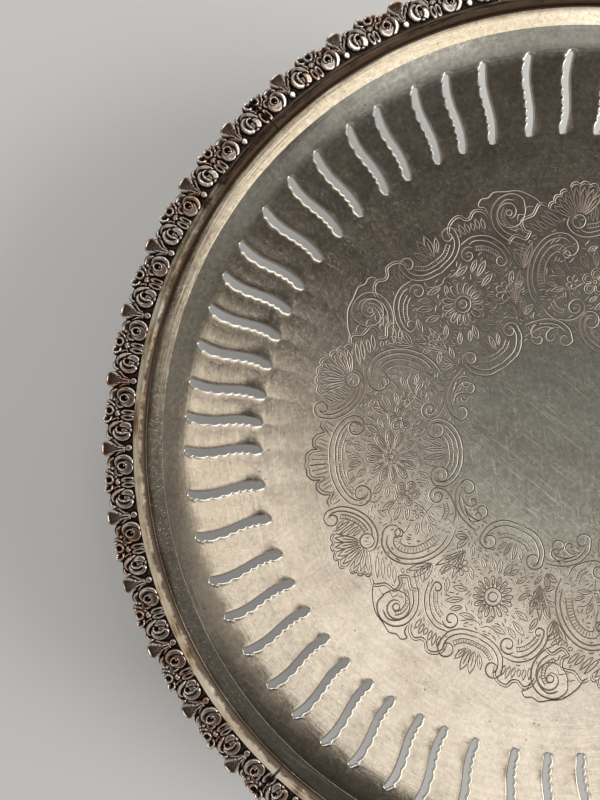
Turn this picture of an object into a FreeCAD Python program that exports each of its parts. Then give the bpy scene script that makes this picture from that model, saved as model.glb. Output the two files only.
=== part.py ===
import FreeCAD, Part
import math
import os

os.makedirs("parts", exist_ok=True)

# Pierced centrepiece: a shallow spun dish with a cast floral border,
# bolted to a spun trumpet foot. Sizes are in millimetres, +Z is up and
# the origin is the middle of the circle that the foot stands on.

# Whole object
overall_d = 300.0
overall_h = 110.0

# Dish
sheet_t = 1.1
bowl_depth = 21.4
shoulder_w = 11.5
shoulder_drop = 4.7

# Border: one pattern, used full size on the dish and smaller on the foot
border_w = 14.4
moulding_w = 3.6
moulding_rise = 1.4
land_w = 2.8
fall_ratio = 0.28
slab_t = 1.0
slab_w = 11.0
flange_w = 10.2
casting_unit_counts = (11, 11, 11, 10)
first_seam_deg = 134.3
foot_pattern_share = 0.8
foot_unit_counts = (11, 11)
foot_seam_deg = 90.0

# Ornament on the border, full size
pad_sink = 0.06
lobe_out = 7.9
lobe_ring_r = 2.25
lobe_tube_r = 0.62
lobe_pad_r = 2.6
lobe_stem_in = 1.9
lobe_stem_out = 6.2
lobe_stem_thin_r = 0.4
lobe_stem_thick_r = 1.05
bead_out = 1.3
bead_r = 0.9
fan_root_out = 4.1
fan_flute_len = 5.4
fan_flute_thin_r = 0.36
fan_flute_thick_r = 0.96
fan_flute_degs = (13.0, 40.0)
fan_outer_len_share = 0.86
fan_pad_out = 7.2
fan_pad_r = 3.2
reed_r = 0.5
reed_side = 0.75
reed_in = 0.5
reed_len = 3.2
rosette_side_share = 0.25
rosette_out = 3.3
rosette_ring_r = 2.2
rosette_tube_r = 0.72
rosette_eye_r = 1.3
bud_side_share = 0.155
bud_out = 6.1
bud_r = 0.95
relief_lift = 0.12

# Pierced slots: S-shaped, plain on one side and scalloped on the other
slot_count = 62
slot_len = 23.8
slot_w = 2.3
slot_start_gap = 11.5
slot_sway = 0.7
slot_lean = 1.25
slot_bite = 0.55
slot_first_deg = 85.6
slot_cusp_shares = (0.10, 0.29, 0.44, 0.56, 0.66, 0.75, 0.83)
slot_plain_shares = (0.0, 0.15, 0.3, 0.45, 0.6, 0.75, 0.9, 1.0)
slot_end_share = 0.045
# The slots were pressed one by one, so their steps are uneven. Each share
# is one step going round, against the even step; the list starts again
# at its end, and the whole is scaled to close the circle.
slot_step_shares = (
    1.08, 1.07, 1.18, 0.98, 0.86, 1.08, 0.84, 1.07,
    0.91, 1.00, 1.07, 0.88, 0.89, 0.95, 0.98, 0.87,
    0.86, 1.12, 1.08, 1.17, 0.98, 1.00, 1.05, 0.98,
    1.00, 0.88, 1.08, 0.84, 1.05, 1.30, 1.05, 1.03,
)

# Foot and stem
foot_d = 125.0
foot_land_h = 7.4
neck_r = 11.5
neck_h = 58.0
stem_top_r = 19.0
stem_top_h = 77.6
stem_corner_r = 2.0
stem_plate_hole_r = 3.3
skirt_run_shares = (0.72, 0.40, 0.12)
skirt_rise_shares = (0.10, 0.30, 0.66)
flare_share = 0.45
foot_wire_w = 7.6
foot_wire_round = 0.7

# Collar between the stem and the dish
collar_in_r = 9.0
collar_out_r = 20.0
reed_bulge = 1.6
collar_reed_shares = (0.25, 0.75, 1.0)

# Boss under the dish and the bolt that holds the foot on
boss_r = 25.0
boss_edge_round = 0.8
stud_r = 3.0
stud_chamfer = 0.5
stud_bite = 3.4
stud_tip_gap = 0.3
stud_tail = 2.4
thread_gap = 0.04
washer_r = 8.0
washer_t = 1.4
nut_across = 11.0
nut_t = 5.0

V = FreeCAD.Vector
ORIGIN = V(0, 0, 0)
AXIS_Z = V(0, 0, 1)
AXIS_X = V(1, 0, 0)
AXIS_Y = V(0, 1, 0)
FULL_TURN = 360.0

edge_r = overall_d / 2 - border_w
land_z = overall_h - moulding_rise
well_z = overall_h - bowl_depth
shoulder_r = edge_r - shoulder_w
shoulder_z = overall_h - shoulder_drop
foot_edge_r = foot_d / 2 - border_w * foot_pattern_share


def at(r, z):
    """A point of a section, drawn in the XZ plane."""
    return V(r, 0, z)


def save(shape, name):
    """Check one piece and write its STEP file."""
    if not shape.isValid() or len(shape.Solids) != 1:
        raise RuntimeError(name + " is not one sound solid")
    shape.Solids[0].exportStep("parts/" + name + ".step")


def line(a, b):
    return Part.makeLine(a, b)


def arc(a, mid, b):
    return Part.Arc(a, mid, b).toShape()


def spin(edges, degrees=FULL_TURN):
    """Turn a closed section about the Z axis."""
    face = Part.Face(Part.Wire(Part.__sortEdges__(edges)))
    solid = face.revolve(ORIGIN, AXIS_Z, degrees)
    if solid.Volume < 0:
        solid.reverse()
    return solid


def spin_polygon(points, degrees=FULL_TURN):
    closed = list(points) + [points[0]]
    return spin([line(a, b) for a, b in zip(closed, closed[1:])], degrees)


def turned(shape, degrees):
    """A copy of the shape, turned about the Z axis."""
    copy = shape.copy()
    copy.rotate(ORIGIN, AXIS_Z, degrees)
    return copy


def tangent_arc_middle(start, direction, end):
    """Middle point of the arc that leaves start along direction."""
    chord = end - start
    normal = V(-direction.z, 0, direction.x)
    reach = chord.dot(chord) / (2 * chord.dot(normal))
    centre = start + normal * reach
    spoke = (start - centre) + (end - centre)
    spoke.normalize()
    return centre + spoke * abs(reach)


# The bowl is part of a sphere up to the shoulder and steeper beyond it.
bowl_rise = shoulder_z - well_z
bowl_sphere_r = (shoulder_r ** 2 + bowl_rise ** 2) / (2 * bowl_rise)


def bowl_z(r, drop=0.0):
    """Height of the bowl at a radius, lowered by drop."""
    sag = bowl_sphere_r - math.sqrt(bowl_sphere_r ** 2 - r ** 2)
    return well_z + sag - drop


def bowl_edges(drop):
    """Both arcs of the bowl, from the middle to the land."""
    middle = at(0, well_z - drop)
    half_way = at(shoulder_r / 2, bowl_z(shoulder_r / 2, drop))
    shoulder = at(shoulder_r, shoulder_z - drop)
    lip = at(edge_r, land_z - drop)
    sphere_centre = at(0, well_z - drop + bowl_sphere_r)
    spoke = shoulder - sphere_centre
    along = V(-spoke.z, 0, spoke.x)
    along.normalize()
    rim_middle = tangent_arc_middle(shoulder, along, lip)
    return [arc(middle, half_way, shoulder), arc(shoulder, rim_middle, lip)]


def border_points(inner_r, top_z, share, reach):
    """Points of the sheet under a border: flat land, then the slope."""
    land_end = inner_r + land_w * share
    fall = (reach - land_w) * share * fall_ratio
    return (
        at(inner_r, top_z),
        at(land_end, top_z),
        at(inner_r + reach * share, top_z - fall),
    )


def make_dish():
    """The spun sheet, with its slots pressed through."""
    low = V(0, 0, -sheet_t)
    top = border_points(edge_r, land_z, 1.0, flange_w)
    bottom = [p + low for p in top]
    edges = bowl_edges(0.0) + bowl_edges(sheet_t)
    edges += [line(top[0], top[1]), line(top[1], top[2])]
    edges += [line(bottom[0], bottom[1]), line(bottom[1], bottom[2])]
    edges.append(line(top[2], bottom[2]))
    edges.append(line(at(0, well_z), at(0, well_z - sheet_t)))
    cutter = make_slot_cutter()
    cutters = [turned(cutter, a) for a in slot_angles()]
    return spin(edges).cut(cutters)


def slot_angles():
    """Angle of every slot, from the uneven steps."""
    steps = [slot_step_shares[i % len(slot_step_shares)] for i in range(slot_count)]
    scale = FULL_TURN / sum(steps)
    angles = []
    place = slot_first_deg
    for step in steps:
        angles.append(place)
        place += step * scale
    return angles


def slot_point(share, side):
    """A point beside the middle line of the slot that lies along +X.

    share runs from the outer end to the inner one. A positive side is
    the scalloped, counter-clockwise one.
    """
    outer_r = edge_r - slot_start_gap
    sway = slot_sway * math.sin(2 * math.pi * share)
    lean = slot_lean * (1 - share)
    return V(outer_r - slot_len * share, sway - lean + side, 0)


def make_slot_cutter():
    """The outline of one slot, raised into a cutter."""
    half = slot_w / 2
    near = slot_end_share
    plain_run = 1 - 2 * near
    plain = [slot_point(near + plain_run * s, -half) for s in slot_plain_shares]
    plain_curve = Part.BSplineCurve()
    plain_curve.interpolate(plain)
    tip_side = half - slot_bite / 2
    ends = [near] + list(slot_cusp_shares) + [1 - near]
    edges = [plain_curve.toShape()]
    for a, b in zip(ends, ends[1:]):
        start = slot_point(a, tip_side)
        hollow = slot_point((a + b) / 2, tip_side + slot_bite)
        edges.append(arc(start, hollow, slot_point(b, tip_side)))
    edges.append(arc(plain[0], slot_point(0.0, 0.0), slot_point(near, tip_side)))
    edges.append(arc(plain[-1], slot_point(1.0, 0.0), slot_point(1 - near, tip_side)))
    face = Part.Face(Part.Wire(Part.__sortEdges__(edges)))
    face.translate(V(0, 0, well_z - sheet_t))
    return face.extrude(V(0, 0, bowl_depth))


def leaf_group(pitch, share):
    """The raised pieces in the middle of one border unit, laid flat.

    +X points outwards from the moulding, Y runs along the border and
    the ground of the casting is at zero height.
    """
    up = relief_lift * share
    pad_low = V(0, 0, -(slab_t - pad_sink) * share)
    pieces = []

    # The spoon-shaped leaf, its stem and its bead
    lobe_at = V(lobe_out * share, 0, up)
    pad_at = V(lobe_out * share, 0, 0) + pad_low
    pieces.append(Part.makeCylinder(lobe_pad_r * share, up - pad_low.z, pad_at))
    ring = Part.makeTorus(lobe_ring_r * share, lobe_tube_r * share)
    ring.translate(lobe_at)
    pieces.append(ring)
    stem_len = (lobe_stem_out - lobe_stem_in) * share
    stem_at = V(lobe_stem_in * share, 0, up)
    thin = lobe_stem_thin_r * share
    thick = lobe_stem_thick_r * share
    pieces.append(Part.makeCone(thin, thick, stem_len, stem_at, AXIS_X))
    pieces.append(Part.makeSphere(bead_r * share, V(bead_out * share, 0, up)))

    # On each side the rosette by the moulding and the bud above it
    for side in (-1, 1):
        rosette_at = V(rosette_out * share, side * rosette_side_share * pitch, up)
        rosette = Part.makeTorus(rosette_ring_r * share, rosette_tube_r * share)
        rosette.translate(rosette_at)
        pieces.append(rosette)
        pieces.append(Part.makeSphere(rosette_eye_r * share, rosette_at))
        bud_at = V(bud_out * share, side * bud_side_share * pitch, up)
        pieces.append(Part.makeSphere(bud_r * share, bud_at))
    return pieces


def fan_group(share):
    """The fan between two units, laid flat like the leaf group."""
    up = relief_lift * share
    pad_low = V(0, 0, -(slab_t - pad_sink) * share)
    pad_at = V(fan_pad_out * share, 0, 0) + pad_low
    pieces = [Part.makeCylinder(fan_pad_r * share, up - pad_low.z, pad_at)]
    root = V(fan_root_out * share, 0, up)
    thin = fan_flute_thin_r * share
    thick = fan_flute_thick_r * share
    for side in (-1, 1):
        reed_at = V(reed_in * share, side * reed_side * share, up)
        reed_tip = reed_at + AXIS_X * (reed_len * share)
        reed = reed_r * share
        pieces.append(Part.makeCylinder(reed, reed_len * share, reed_at, AXIS_X))
        pieces.append(Part.makeSphere(reed, reed_tip))
        for number, splay in enumerate(fan_flute_degs):
            turn = math.radians(splay)
            direction = V(math.cos(turn), side * math.sin(turn), 0)
            length = fan_flute_len * share * fan_outer_len_share ** number
            pieces.append(Part.makeCone(thin, thick, length, root, direction))
            pieces.append(Part.makeSphere(thick, root + direction * length))
    return pieces


def make_unit(inner_r, top_z, share, unit_deg):
    """One unit of border: moulding, sloping ground, leaf and half fans.

    It starts at the X axis and runs counter-clockwise.
    """
    low = border_points(inner_r, top_z, share, slab_w)
    thick = AXIS_Z * (slab_t * share)
    bead_out_r = inner_r + moulding_w * share
    bead_z = top_z - (moulding_w - land_w) * share * fall_ratio + slab_t * share
    bead_end = at(bead_out_r, bead_z)
    crest = at(inner_r + moulding_w * share / 2, top_z + moulding_rise * share)
    edges = [line(low[0], low[1]), line(low[1], low[2])]
    edges.append(line(low[2], low[2] + thick))
    edges.append(line(low[2] + thick, bead_end))
    edges.append(arc(bead_end, crest, low[0]))
    ground = spin(edges, unit_deg)

    tilt = math.degrees(math.atan(fall_ratio))
    pitch = math.radians(unit_deg) * (bead_out_r + rosette_out * share)
    leaf = Part.makeCompound(leaf_group(pitch, share))
    fan = Part.makeCompound(fan_group(share))
    for group in (leaf, fan):
        group.rotate(ORIGIN, AXIS_Y, tilt)
        group.translate(bead_end)
    pieces = turned(leaf, unit_deg / 2).Solids
    pieces += fan.Solids + turned(fan, unit_deg).Solids
    whole = ground.fuse(pieces)

    # Trim the fans to halves at both ends of the unit.
    deep = border_w * share
    corners = (
        at(inner_r - deep, top_z - deep),
        at(inner_r + 2 * deep, top_z - deep),
        at(inner_r + 2 * deep, top_z + deep),
        at(inner_r - deep, top_z + deep),
    )
    return whole.common(spin_polygon(corners, unit_deg)).Solids[0]


def make_border(name, inner_r, top_z, share, unit_counts, seam_deg):
    """All the lengths of one border, each written as its own piece."""
    unit_deg = FULL_TURN / sum(unit_counts)
    unit = make_unit(inner_r, top_z, share, unit_deg)
    place = seam_deg
    for number, unit_count in enumerate(unit_counts):
        units = [turned(unit, place + unit_deg * i) for i in range(unit_count)]
        save(units[0].fuse(units[1:]), name + "_" + str(number + 1))
        place += unit_deg * unit_count


def curve_through(points, first_way, last_way):
    curve = Part.BSplineCurve()
    curve.interpolate(Points=points, InitialTangent=first_way, FinalTangent=last_way)
    return curve


def make_stem():
    """The spun trumpet: flange, skirt, neck, flare and top plate."""
    run = foot_edge_r - neck_r
    rise = neck_h - foot_land_h
    outer = [at(foot_edge_r, foot_land_h)]
    for across, height in zip(skirt_run_shares, skirt_rise_shares):
        outer.append(at(neck_r + run * across, foot_land_h + rise * height))
    outer.append(at(neck_r, neck_h))
    flare_z = stem_top_h - stem_corner_r
    flare_r = neck_r + (stem_top_r - neck_r) * flare_share ** 2
    outer.append(at(flare_r, neck_h + (flare_z - neck_h) * flare_share))
    outer.append(at(stem_top_r, flare_z))
    inwards = V(-1, 0, 0)
    skin = curve_through(outer, inwards * run, AXIS_Z * (flare_z - neck_h))
    inner = []
    for point in outer:
        way = skin.tangent(skin.parameter(point))[0]
        normal = V(-way.z, 0, way.x)
        inner.append(point + normal * sheet_t)
    lining = curve_through(inner, inwards * run, AXIS_Z * (flare_z - neck_h))

    slant = math.sqrt(0.5)
    corner = at(stem_top_r - stem_corner_r, flare_z)
    bend = V(slant, 0, slant)
    inner_corner_r = stem_corner_r - sheet_t
    plate_top = corner + AXIS_Z * stem_corner_r
    plate_low = corner + AXIS_Z * inner_corner_r
    hole_top = at(stem_plate_hole_r, stem_top_h)
    hole_low = at(stem_plate_hole_r, stem_top_h - sheet_t)

    low = V(0, 0, -sheet_t)
    share = foot_pattern_share
    top = border_points(foot_edge_r, foot_land_h, share, slab_w)
    edges = [skin.toShape(), lining.toShape()]
    edges.append(arc(outer[-1], corner + bend * stem_corner_r, plate_top))
    edges.append(arc(inner[-1], corner + bend * inner_corner_r, plate_low))
    edges += [line(plate_top, hole_top), line(hole_top, hole_low)]
    edges.append(line(hole_low, plate_low))
    edges += [line(top[0], top[1]), line(top[1], top[2])]
    edges += [line(top[2], top[2] + low), line(top[2] + low, top[1] + low)]
    edges.append(line(top[1] + low, top[0] + low))
    return spin(edges)


def make_foot_wire():
    """The flat ring that the foot stands on, under the flange."""
    share = foot_pattern_share
    top = border_points(foot_edge_r, foot_land_h - sheet_t, share, slab_w)
    outer = top[2]
    slope_start = top[1]
    inner_r = outer.x - foot_wire_w * share
    inner_z = slope_start.z - (inner_r - slope_start.x) * fall_ratio
    inner_top = at(inner_r, inner_z)
    inner_low = at(inner_r, 0)
    outer_low = at(outer.x, 0)
    bulge = at(outer.x + foot_wire_round, outer.z / 2)
    edges = [line(inner_low, outer_low), arc(outer_low, bulge, outer)]
    edges += [line(outer, inner_top), line(inner_top, inner_low)]
    return spin(edges)


def make_collar():
    """The turned ring of three reeds that the dish sits on."""
    base_z = stem_top_h
    top_z = well_z - sheet_t - boss_thickness()
    height = top_z - base_z
    edges = []
    start_z = base_z
    for share in collar_reed_shares:
        end_z = base_z + height * share
        bulge = reed_bulge * (end_z - start_z) / height
        middle = at(collar_out_r + bulge, (start_z + end_z) / 2)
        edges.append(arc(at(collar_out_r, start_z), middle, at(collar_out_r, end_z)))
        start_z = end_z
    edges.append(line(at(collar_out_r, base_z), at(collar_in_r, base_z)))
    edges.append(line(at(collar_in_r, base_z), at(collar_in_r, top_z)))
    edges.append(line(at(collar_in_r, top_z), at(collar_out_r, top_z)))
    return spin(edges)


def boss_thickness():
    """The boss takes the bite of the stud and keeps a sheet above it."""
    return stud_bite + stud_tip_gap + sheet_t


def make_boss():
    """The turned plate soldered under the dish, tapped for the stud."""
    low_z = well_z - sheet_t - boss_thickness()
    hole_r = stud_r + thread_gap
    hole_top = low_z + stud_bite + stud_tip_gap
    rim_top = at(boss_r, bowl_z(boss_r, sheet_t))
    half_way = at(boss_r / 2, bowl_z(boss_r / 2, sheet_t))
    crown = at(0, well_z - sheet_t)
    edge_low = at(boss_r - boss_edge_round, low_z)
    edge_side = at(boss_r, low_z + boss_edge_round)
    edges = [arc(crown, half_way, rim_top), line(rim_top, edge_side)]
    edges.append(line(edge_side, edge_low))
    edges.append(line(edge_low, at(hole_r, low_z)))
    edges.append(line(at(hole_r, low_z), at(hole_r, hole_top)))
    edges.append(line(at(hole_r, hole_top), at(0, hole_top)))
    edges.append(line(at(0, hole_top), crown))
    return spin(edges)


def washer_top():
    return stem_top_h - sheet_t


def make_stud():
    """The stud, screwed into the boss and run down into the stem."""
    top_z = well_z - sheet_t - boss_thickness() + stud_bite
    low_z = washer_top() - washer_t - nut_t - stud_tail
    tip_r = stud_r - stud_chamfer
    points = (
        at(0, low_z),
        at(tip_r, low_z),
        at(stud_r, low_z + stud_chamfer),
        at(stud_r, top_z - stud_chamfer),
        at(tip_r, top_z),
        at(0, top_z),
    )
    return spin_polygon(points)


def make_washer():
    hole_r = stem_plate_hole_r
    top_z = washer_top()
    low_z = top_z - washer_t
    points = (at(hole_r, low_z), at(washer_r, low_z), at(washer_r, top_z), at(hole_r, top_z))
    return spin_polygon(points)


def make_nut():
    """The hexagon nut, reached from under the foot."""
    low_z = washer_top() - washer_t - nut_t
    sides = 6
    corner_r = nut_across / 2 / math.cos(math.pi / sides)
    corners = []
    for number in range(sides + 1):
        turn = 2 * math.pi * number / sides
        corners.append(V(corner_r * math.cos(turn), corner_r * math.sin(turn), low_z))
    block = Part.Face(Part.makePolygon(corners)).extrude(AXIS_Z * nut_t)
    hole = Part.makeCylinder(stud_r + thread_gap, nut_t, V(0, 0, low_z))
    return block.cut(hole)


save(make_dish(), "pierced_dish")
make_border(
    "border_casting", edge_r, land_z, 1.0, casting_unit_counts, first_seam_deg
)
save(make_stem(), "pedestal_stem")
make_border(
    "foot_casting",
    foot_edge_r,
    foot_land_h,
    foot_pattern_share,
    foot_unit_counts,
    foot_seam_deg,
)
save(make_foot_wire(), "foot_wire")
save(make_collar(), "stem_collar")
save(make_boss(), "dish_boss")
save(make_stud(), "clamp_stud")
save(make_washer(), "clamp_washer")
save(make_nut(), "clamp_nut")
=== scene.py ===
import math

import bpy
import numpy as np
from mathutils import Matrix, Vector


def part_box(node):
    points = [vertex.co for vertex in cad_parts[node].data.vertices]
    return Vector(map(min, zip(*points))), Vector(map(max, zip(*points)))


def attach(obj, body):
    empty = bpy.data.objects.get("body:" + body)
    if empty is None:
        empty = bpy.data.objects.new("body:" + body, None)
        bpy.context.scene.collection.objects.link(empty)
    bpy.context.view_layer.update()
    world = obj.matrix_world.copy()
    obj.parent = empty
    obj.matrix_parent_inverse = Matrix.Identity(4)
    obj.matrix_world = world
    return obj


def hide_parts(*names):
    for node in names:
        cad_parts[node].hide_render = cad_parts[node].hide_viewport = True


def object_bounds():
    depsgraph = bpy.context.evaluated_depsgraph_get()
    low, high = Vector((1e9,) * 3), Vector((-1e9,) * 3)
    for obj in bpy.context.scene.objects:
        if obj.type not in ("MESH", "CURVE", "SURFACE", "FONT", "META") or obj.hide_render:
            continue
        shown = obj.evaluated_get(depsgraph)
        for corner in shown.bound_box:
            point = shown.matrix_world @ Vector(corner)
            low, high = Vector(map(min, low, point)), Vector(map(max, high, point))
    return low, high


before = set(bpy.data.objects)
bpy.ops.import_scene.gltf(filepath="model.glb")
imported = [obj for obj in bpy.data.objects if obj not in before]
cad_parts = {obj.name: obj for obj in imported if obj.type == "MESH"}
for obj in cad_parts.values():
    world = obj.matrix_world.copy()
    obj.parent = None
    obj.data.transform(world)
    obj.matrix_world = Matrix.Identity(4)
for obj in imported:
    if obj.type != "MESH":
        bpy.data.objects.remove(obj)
cad_low, cad_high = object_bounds()

# Lengths below are in millimetres in the frame of the solids, and MM
# turns them into Blender's metres. The driving sizes come from the frame.
MM = 0.001
dish_low, dish_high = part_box("pierced_dish")
foot_low, foot_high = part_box("foot_casting_1")

# Dish, as in the solids
RIM_Z = cad_high.z / MM
FLANGE_W = 10.2
EDGE_R = dish_high.x / MM - FLANGE_W
SHEET_T = 1.1
WELL_Z = dish_low.z / MM + SHEET_T
SHOULDER_W = 11.5
SHOULDER_DROP = 4.7
SHOULDER_R = EDGE_R - SHOULDER_W
SHOULDER_Z = RIM_Z - SHOULDER_DROP
LAND_DROP = 1.4
LAND_W = 2.8
LAND_Z = RIM_Z - LAND_DROP
# slope of the flange beyond its land
FALL = 0.28

# Rim: the bowl eases near the shoulder, then turns up at a crease
TURN_UP_W = 4.7
TURN_UP_ROUND = 0.02
TURN_UP_SLOPE = 0.43
EASE_IN = 5.0
EASE_OUT = 1.9
EASE_R = SHOULDER_R - EASE_IN
CREASE_R = EDGE_R - TURN_UP_W
CREASE_REACH = 30

# Slots, as in the solids
SLOT_COUNT = 62
SLOT_LEN = 23.8
SLOT_W = 2.3
SLOT_SWAY = 0.7
SLOT_LEAN = 1.25
SLOT_BITE = 0.55
SLOT_FIRST_DEG = 85.6
SLOT_CUSP_SHARES = (0.10, 0.29, 0.44, 0.56, 0.66, 0.75, 0.83)
SLOT_STEP_SHARES = (
    1.08, 1.07, 1.18, 0.98, 0.86, 1.08, 0.84, 1.07,
    0.91, 1.00, 1.07, 0.88, 0.89, 0.95, 0.98, 0.87,
    0.86, 1.12, 1.08, 1.17, 0.98, 1.00, 1.05, 0.98,
    1.00, 0.88, 1.08, 0.84, 1.05, 1.30, 1.05, 1.03,
)
SLOT_END_SHARE = SLOT_W / 2 / SLOT_LEN
SLOT_BOUNDS = (SLOT_END_SHARE, *SLOT_CUSP_SHARES, 1 - SLOT_END_SHARE)
SLOT_BITES = tuple(zip(SLOT_BOUNDS, SLOT_BOUNDS[1:]))
SLOT_OUTER_R = SHOULDER_R
SLOT_INNER_R = SLOT_OUTER_R - SLOT_LEN

# Edges of the slots and the strips between them
PLAIN_RISE = 0.05
BURR_RISE = 0.05
LIP_WIDE = 0.42
# width of the painted highlight along the scalloped edge of each slot
HIGHLIGHT_WIDE = 0.5
STRIP_CROWN = 0.03
CROWN_FADE = 4.0
# the plain side of a slot is bent up near its inner end
BENT_RISE = 0.11
BENT_WIDE = 1.7
BENT_AT_SHARE = 0.82
BENT_SPREAD_SHARE = 0.14
BENT_END_SHARE = 0.12

# Rows and columns of the dish mesh
SLOT_ROWS_A_BITE = 5
SLOT_END_ROWS = 5
SHARE_DIGITS = 6
STRIP_SHARES = (0, 0.025, 0.06, 0.13, 0.30, 0.52, 0.72, 0.86, 0.95, 1)
WELL_RINGS = [2.0, 9.0, 17.0, 25.0] + [31.0 + 3.9 * i for i in range(16)]
WELL_RING_GAP = 3.0
NEAR_SLOT_RINGS = (0.35, 0.8, 1.5, 2.6)
BAND_RINGS = (3.6, -0.8, 4)
CREASE_RINGS = (-0.3, -0.05, 0.0, 0.05, 0.3)
TURN_UP_RINGS = (0.9, -0.4, 4)
FLANGE_RINGS = (0, LAND_W * 0.5, LAND_W, LAND_W + 3.5, FLANGE_W)
WELD_GAP = 0.004

# Border castings, as in the solids
UNIT_COUNTS = (11, 11, 11, 10)
FIRST_SEAM_DEG = 134.3
FOOT_UNIT_COUNTS = (11, 11)
FOOT_SEAM_DEG = 90.0
FOOT_SHARE = 0.8
BORDER_W = 14.4
MOULDING_W = 3.6
SLAB_T = 1.0
FOOT_EDGE_R = (foot_high.y - foot_low.y) / 2 / MM - BORDER_W * FOOT_SHARE
FOOT_LAND_Z = 7.4
# height of the ground of the ornament where it leaves the moulding
GROUND_LIFT = SLAB_T - (MOULDING_W - LAND_W) * FALL

# Camera, found from the circles in the photograph
CAMERA_XY = (-88.0, 14.1)
CAMERA_ABOVE_RIM = 183.7
CAMERA_LENS = 27.05
CAMERA_CLIP = 10.0
SENSOR_W = 36.0


# Mesh helpers
def in_scene(name, data):
    """An object of this data, linked into the scene."""
    made = bpy.data.objects.new(name, data)
    bpy.context.scene.collection.objects.link(made)
    return made


def new_object(name, verts, faces, material, slot, **fields):
    """A smooth mesh piece, given in millimetres, that rides on the root.

    A field gives each vertex a number, which the material reads by its name.
    """
    mesh = bpy.data.meshes.new(name)
    mesh.from_pydata((np.asarray(verts) * MM).tolist(), [], faces)
    mesh.validate()
    mesh.polygons.foreach_set("use_smooth", [True] * len(mesh.polygons))
    mesh.update()
    mesh.materials.append(material)
    for field, values in fields.items():
        numbers = mesh.attributes.new(field, "FLOAT", "POINT").data
        numbers.foreach_set("value", np.ravel(values).astype(np.float32))
    piece = in_scene(name, mesh)
    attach(piece, "root")
    return piece


def grid_faces(rows, cols, base=0):
    """Quads of a grid whose point number is row * cols + column."""
    faces = []
    for i in range(rows - 1):
        for a in range(base + i * cols, base + (i + 1) * cols - 1):
            faces.append((a, a + cols, a + cols + 1, a + 1))
    return faces


def directions(line):
    """The direction of a line at each of its points."""
    step = np.gradient(line, axis=0)
    return step / np.maximum(np.hypot(step[:, 0], step[:, 1]), 1e-9)[:, None]


def unit_vector(deg):
    turn = math.radians(deg)
    return np.array([math.cos(turn), math.sin(turn)])


def points_round(centre, r, turn):
    """Points round a centre, at distances r and angles in radians."""
    return np.stack([centre[0] + r * np.cos(turn), centre[1] + r * np.sin(turn)], 1)


# Materials
class Nodes:
    """Short calls for building one material's node tree."""

    def __init__(self, name):
        self.material = bpy.data.materials.new(name)
        self.material.use_nodes = True
        self.tree = self.material.node_tree
        self.tree.nodes.clear()
        self.output = self.tree.nodes.new("ShaderNodeOutputMaterial")

    def add(self, kind, inputs=None, **settings):
        """A node; each input is linked if it is a socket, and left if None."""
        node = self.tree.nodes.new("ShaderNode" + kind)
        for key, value in settings.items():
            setattr(node, key, value)
        for key, value in (inputs or {}).items():
            if isinstance(value, bpy.types.NodeSocket):
                self.tree.links.new(value, node.inputs[key])
            elif value is not None:
                node.inputs[key].default_value = value
        return node

    def math(self, operation, a, b=0.0, c=0.0):
        return self.add("Math", {0: a, 1: b, 2: c}, operation=operation).outputs[0]

    def dot(self, a, b):
        inputs = {0: a, 1: b}
        return self.add("VectorMath", inputs, operation="DOT_PRODUCT").outputs["Value"]

    def mix(self, share, a, b, blend="MIX"):
        inputs = {0: share, 6: a, 7: b}
        return self.add("Mix", inputs, data_type="RGBA", blend_type=blend).outputs[2]

    def ramp(self, value, stops):
        node = self.add("ValToRGB", {0: value})
        set_stops(node.color_ramp.elements, stops)
        return node.outputs[0]

    def grey_ramp(self, value, stops):
        return self.ramp(value, [(place, (grey, grey, grey)) for place, grey in stops])

    def noise(self, vector, scale, detail=3.0, rough=0.55):
        inputs = {"Vector": vector, "Scale": scale, "Detail": detail, "Roughness": rough}
        return self.add("TexNoise", inputs).outputs[0]

    def field(self, name):
        return self.add("Attribute", attribute_name=name).outputs["Fac"]

    def ragged(self, value, noise, reach):
        """The value, moved up and down by a noise."""
        return self.math("MULTIPLY_ADD", noise, reach, self.math("ADD", value, -reach / 2))

    def stain(self, base, value, stops, shade):
        """The base, covered by a shade as far as a grey ramp says."""
        return self.mix(self.grey_ramp(value, stops), base, (*shade, 1))

    def bump(self, height, strength, distance, under=None):
        """The normal of a surface raised by the height, over another bump."""
        inputs = {"Strength": strength, "Distance": distance, "Height": height, "Normal": under}
        return self.add("Bump", inputs).outputs[0]

    def surface(self, base, rough, normal=None, metal=1.0):
        """Closes the tree with its shader and gives the material back."""
        inputs = {"Base Color": base, "Metallic": metal, "Roughness": rough, "Normal": normal}
        shader = self.add("BsdfPrincipled", inputs)
        self.tree.links.new(shader.outputs[0], self.output.inputs[0])
        return self.material


def set_stops(elements, stops):
    """Writes (place, shade) rows into a colour ramp."""
    while len(elements) < len(stops):
        elements.new(0.5)
    for element, (place, shade) in zip(elements, stops):
        element.position = place
        element.color = (*shade, 1)


UPRIGHT_SHARE = 0.3


def polar(n, along, across):
    """Object coordinates, how far they lie from the Z axis, and bent round it."""
    place = n.add("TexCoord").outputs["Object"]
    x, y, z = n.add("SeparateXYZ", {0: place}).outputs
    turn = n.math("ARCTAN2", y, x)
    r = n.math("SQRT", n.math("ADD", n.math("MULTIPLY", x, x), n.math("MULTIPLY", y, y)))
    bent = n.add("CombineXYZ", {
        0: n.math("MULTIPLY", turn, along),
        1: n.math("MULTIPLY", r, across),
        2: n.math("MULTIPLY", z, across * UPRIGHT_SHARE),
    })
    return place, r, bent.outputs[0]
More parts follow.
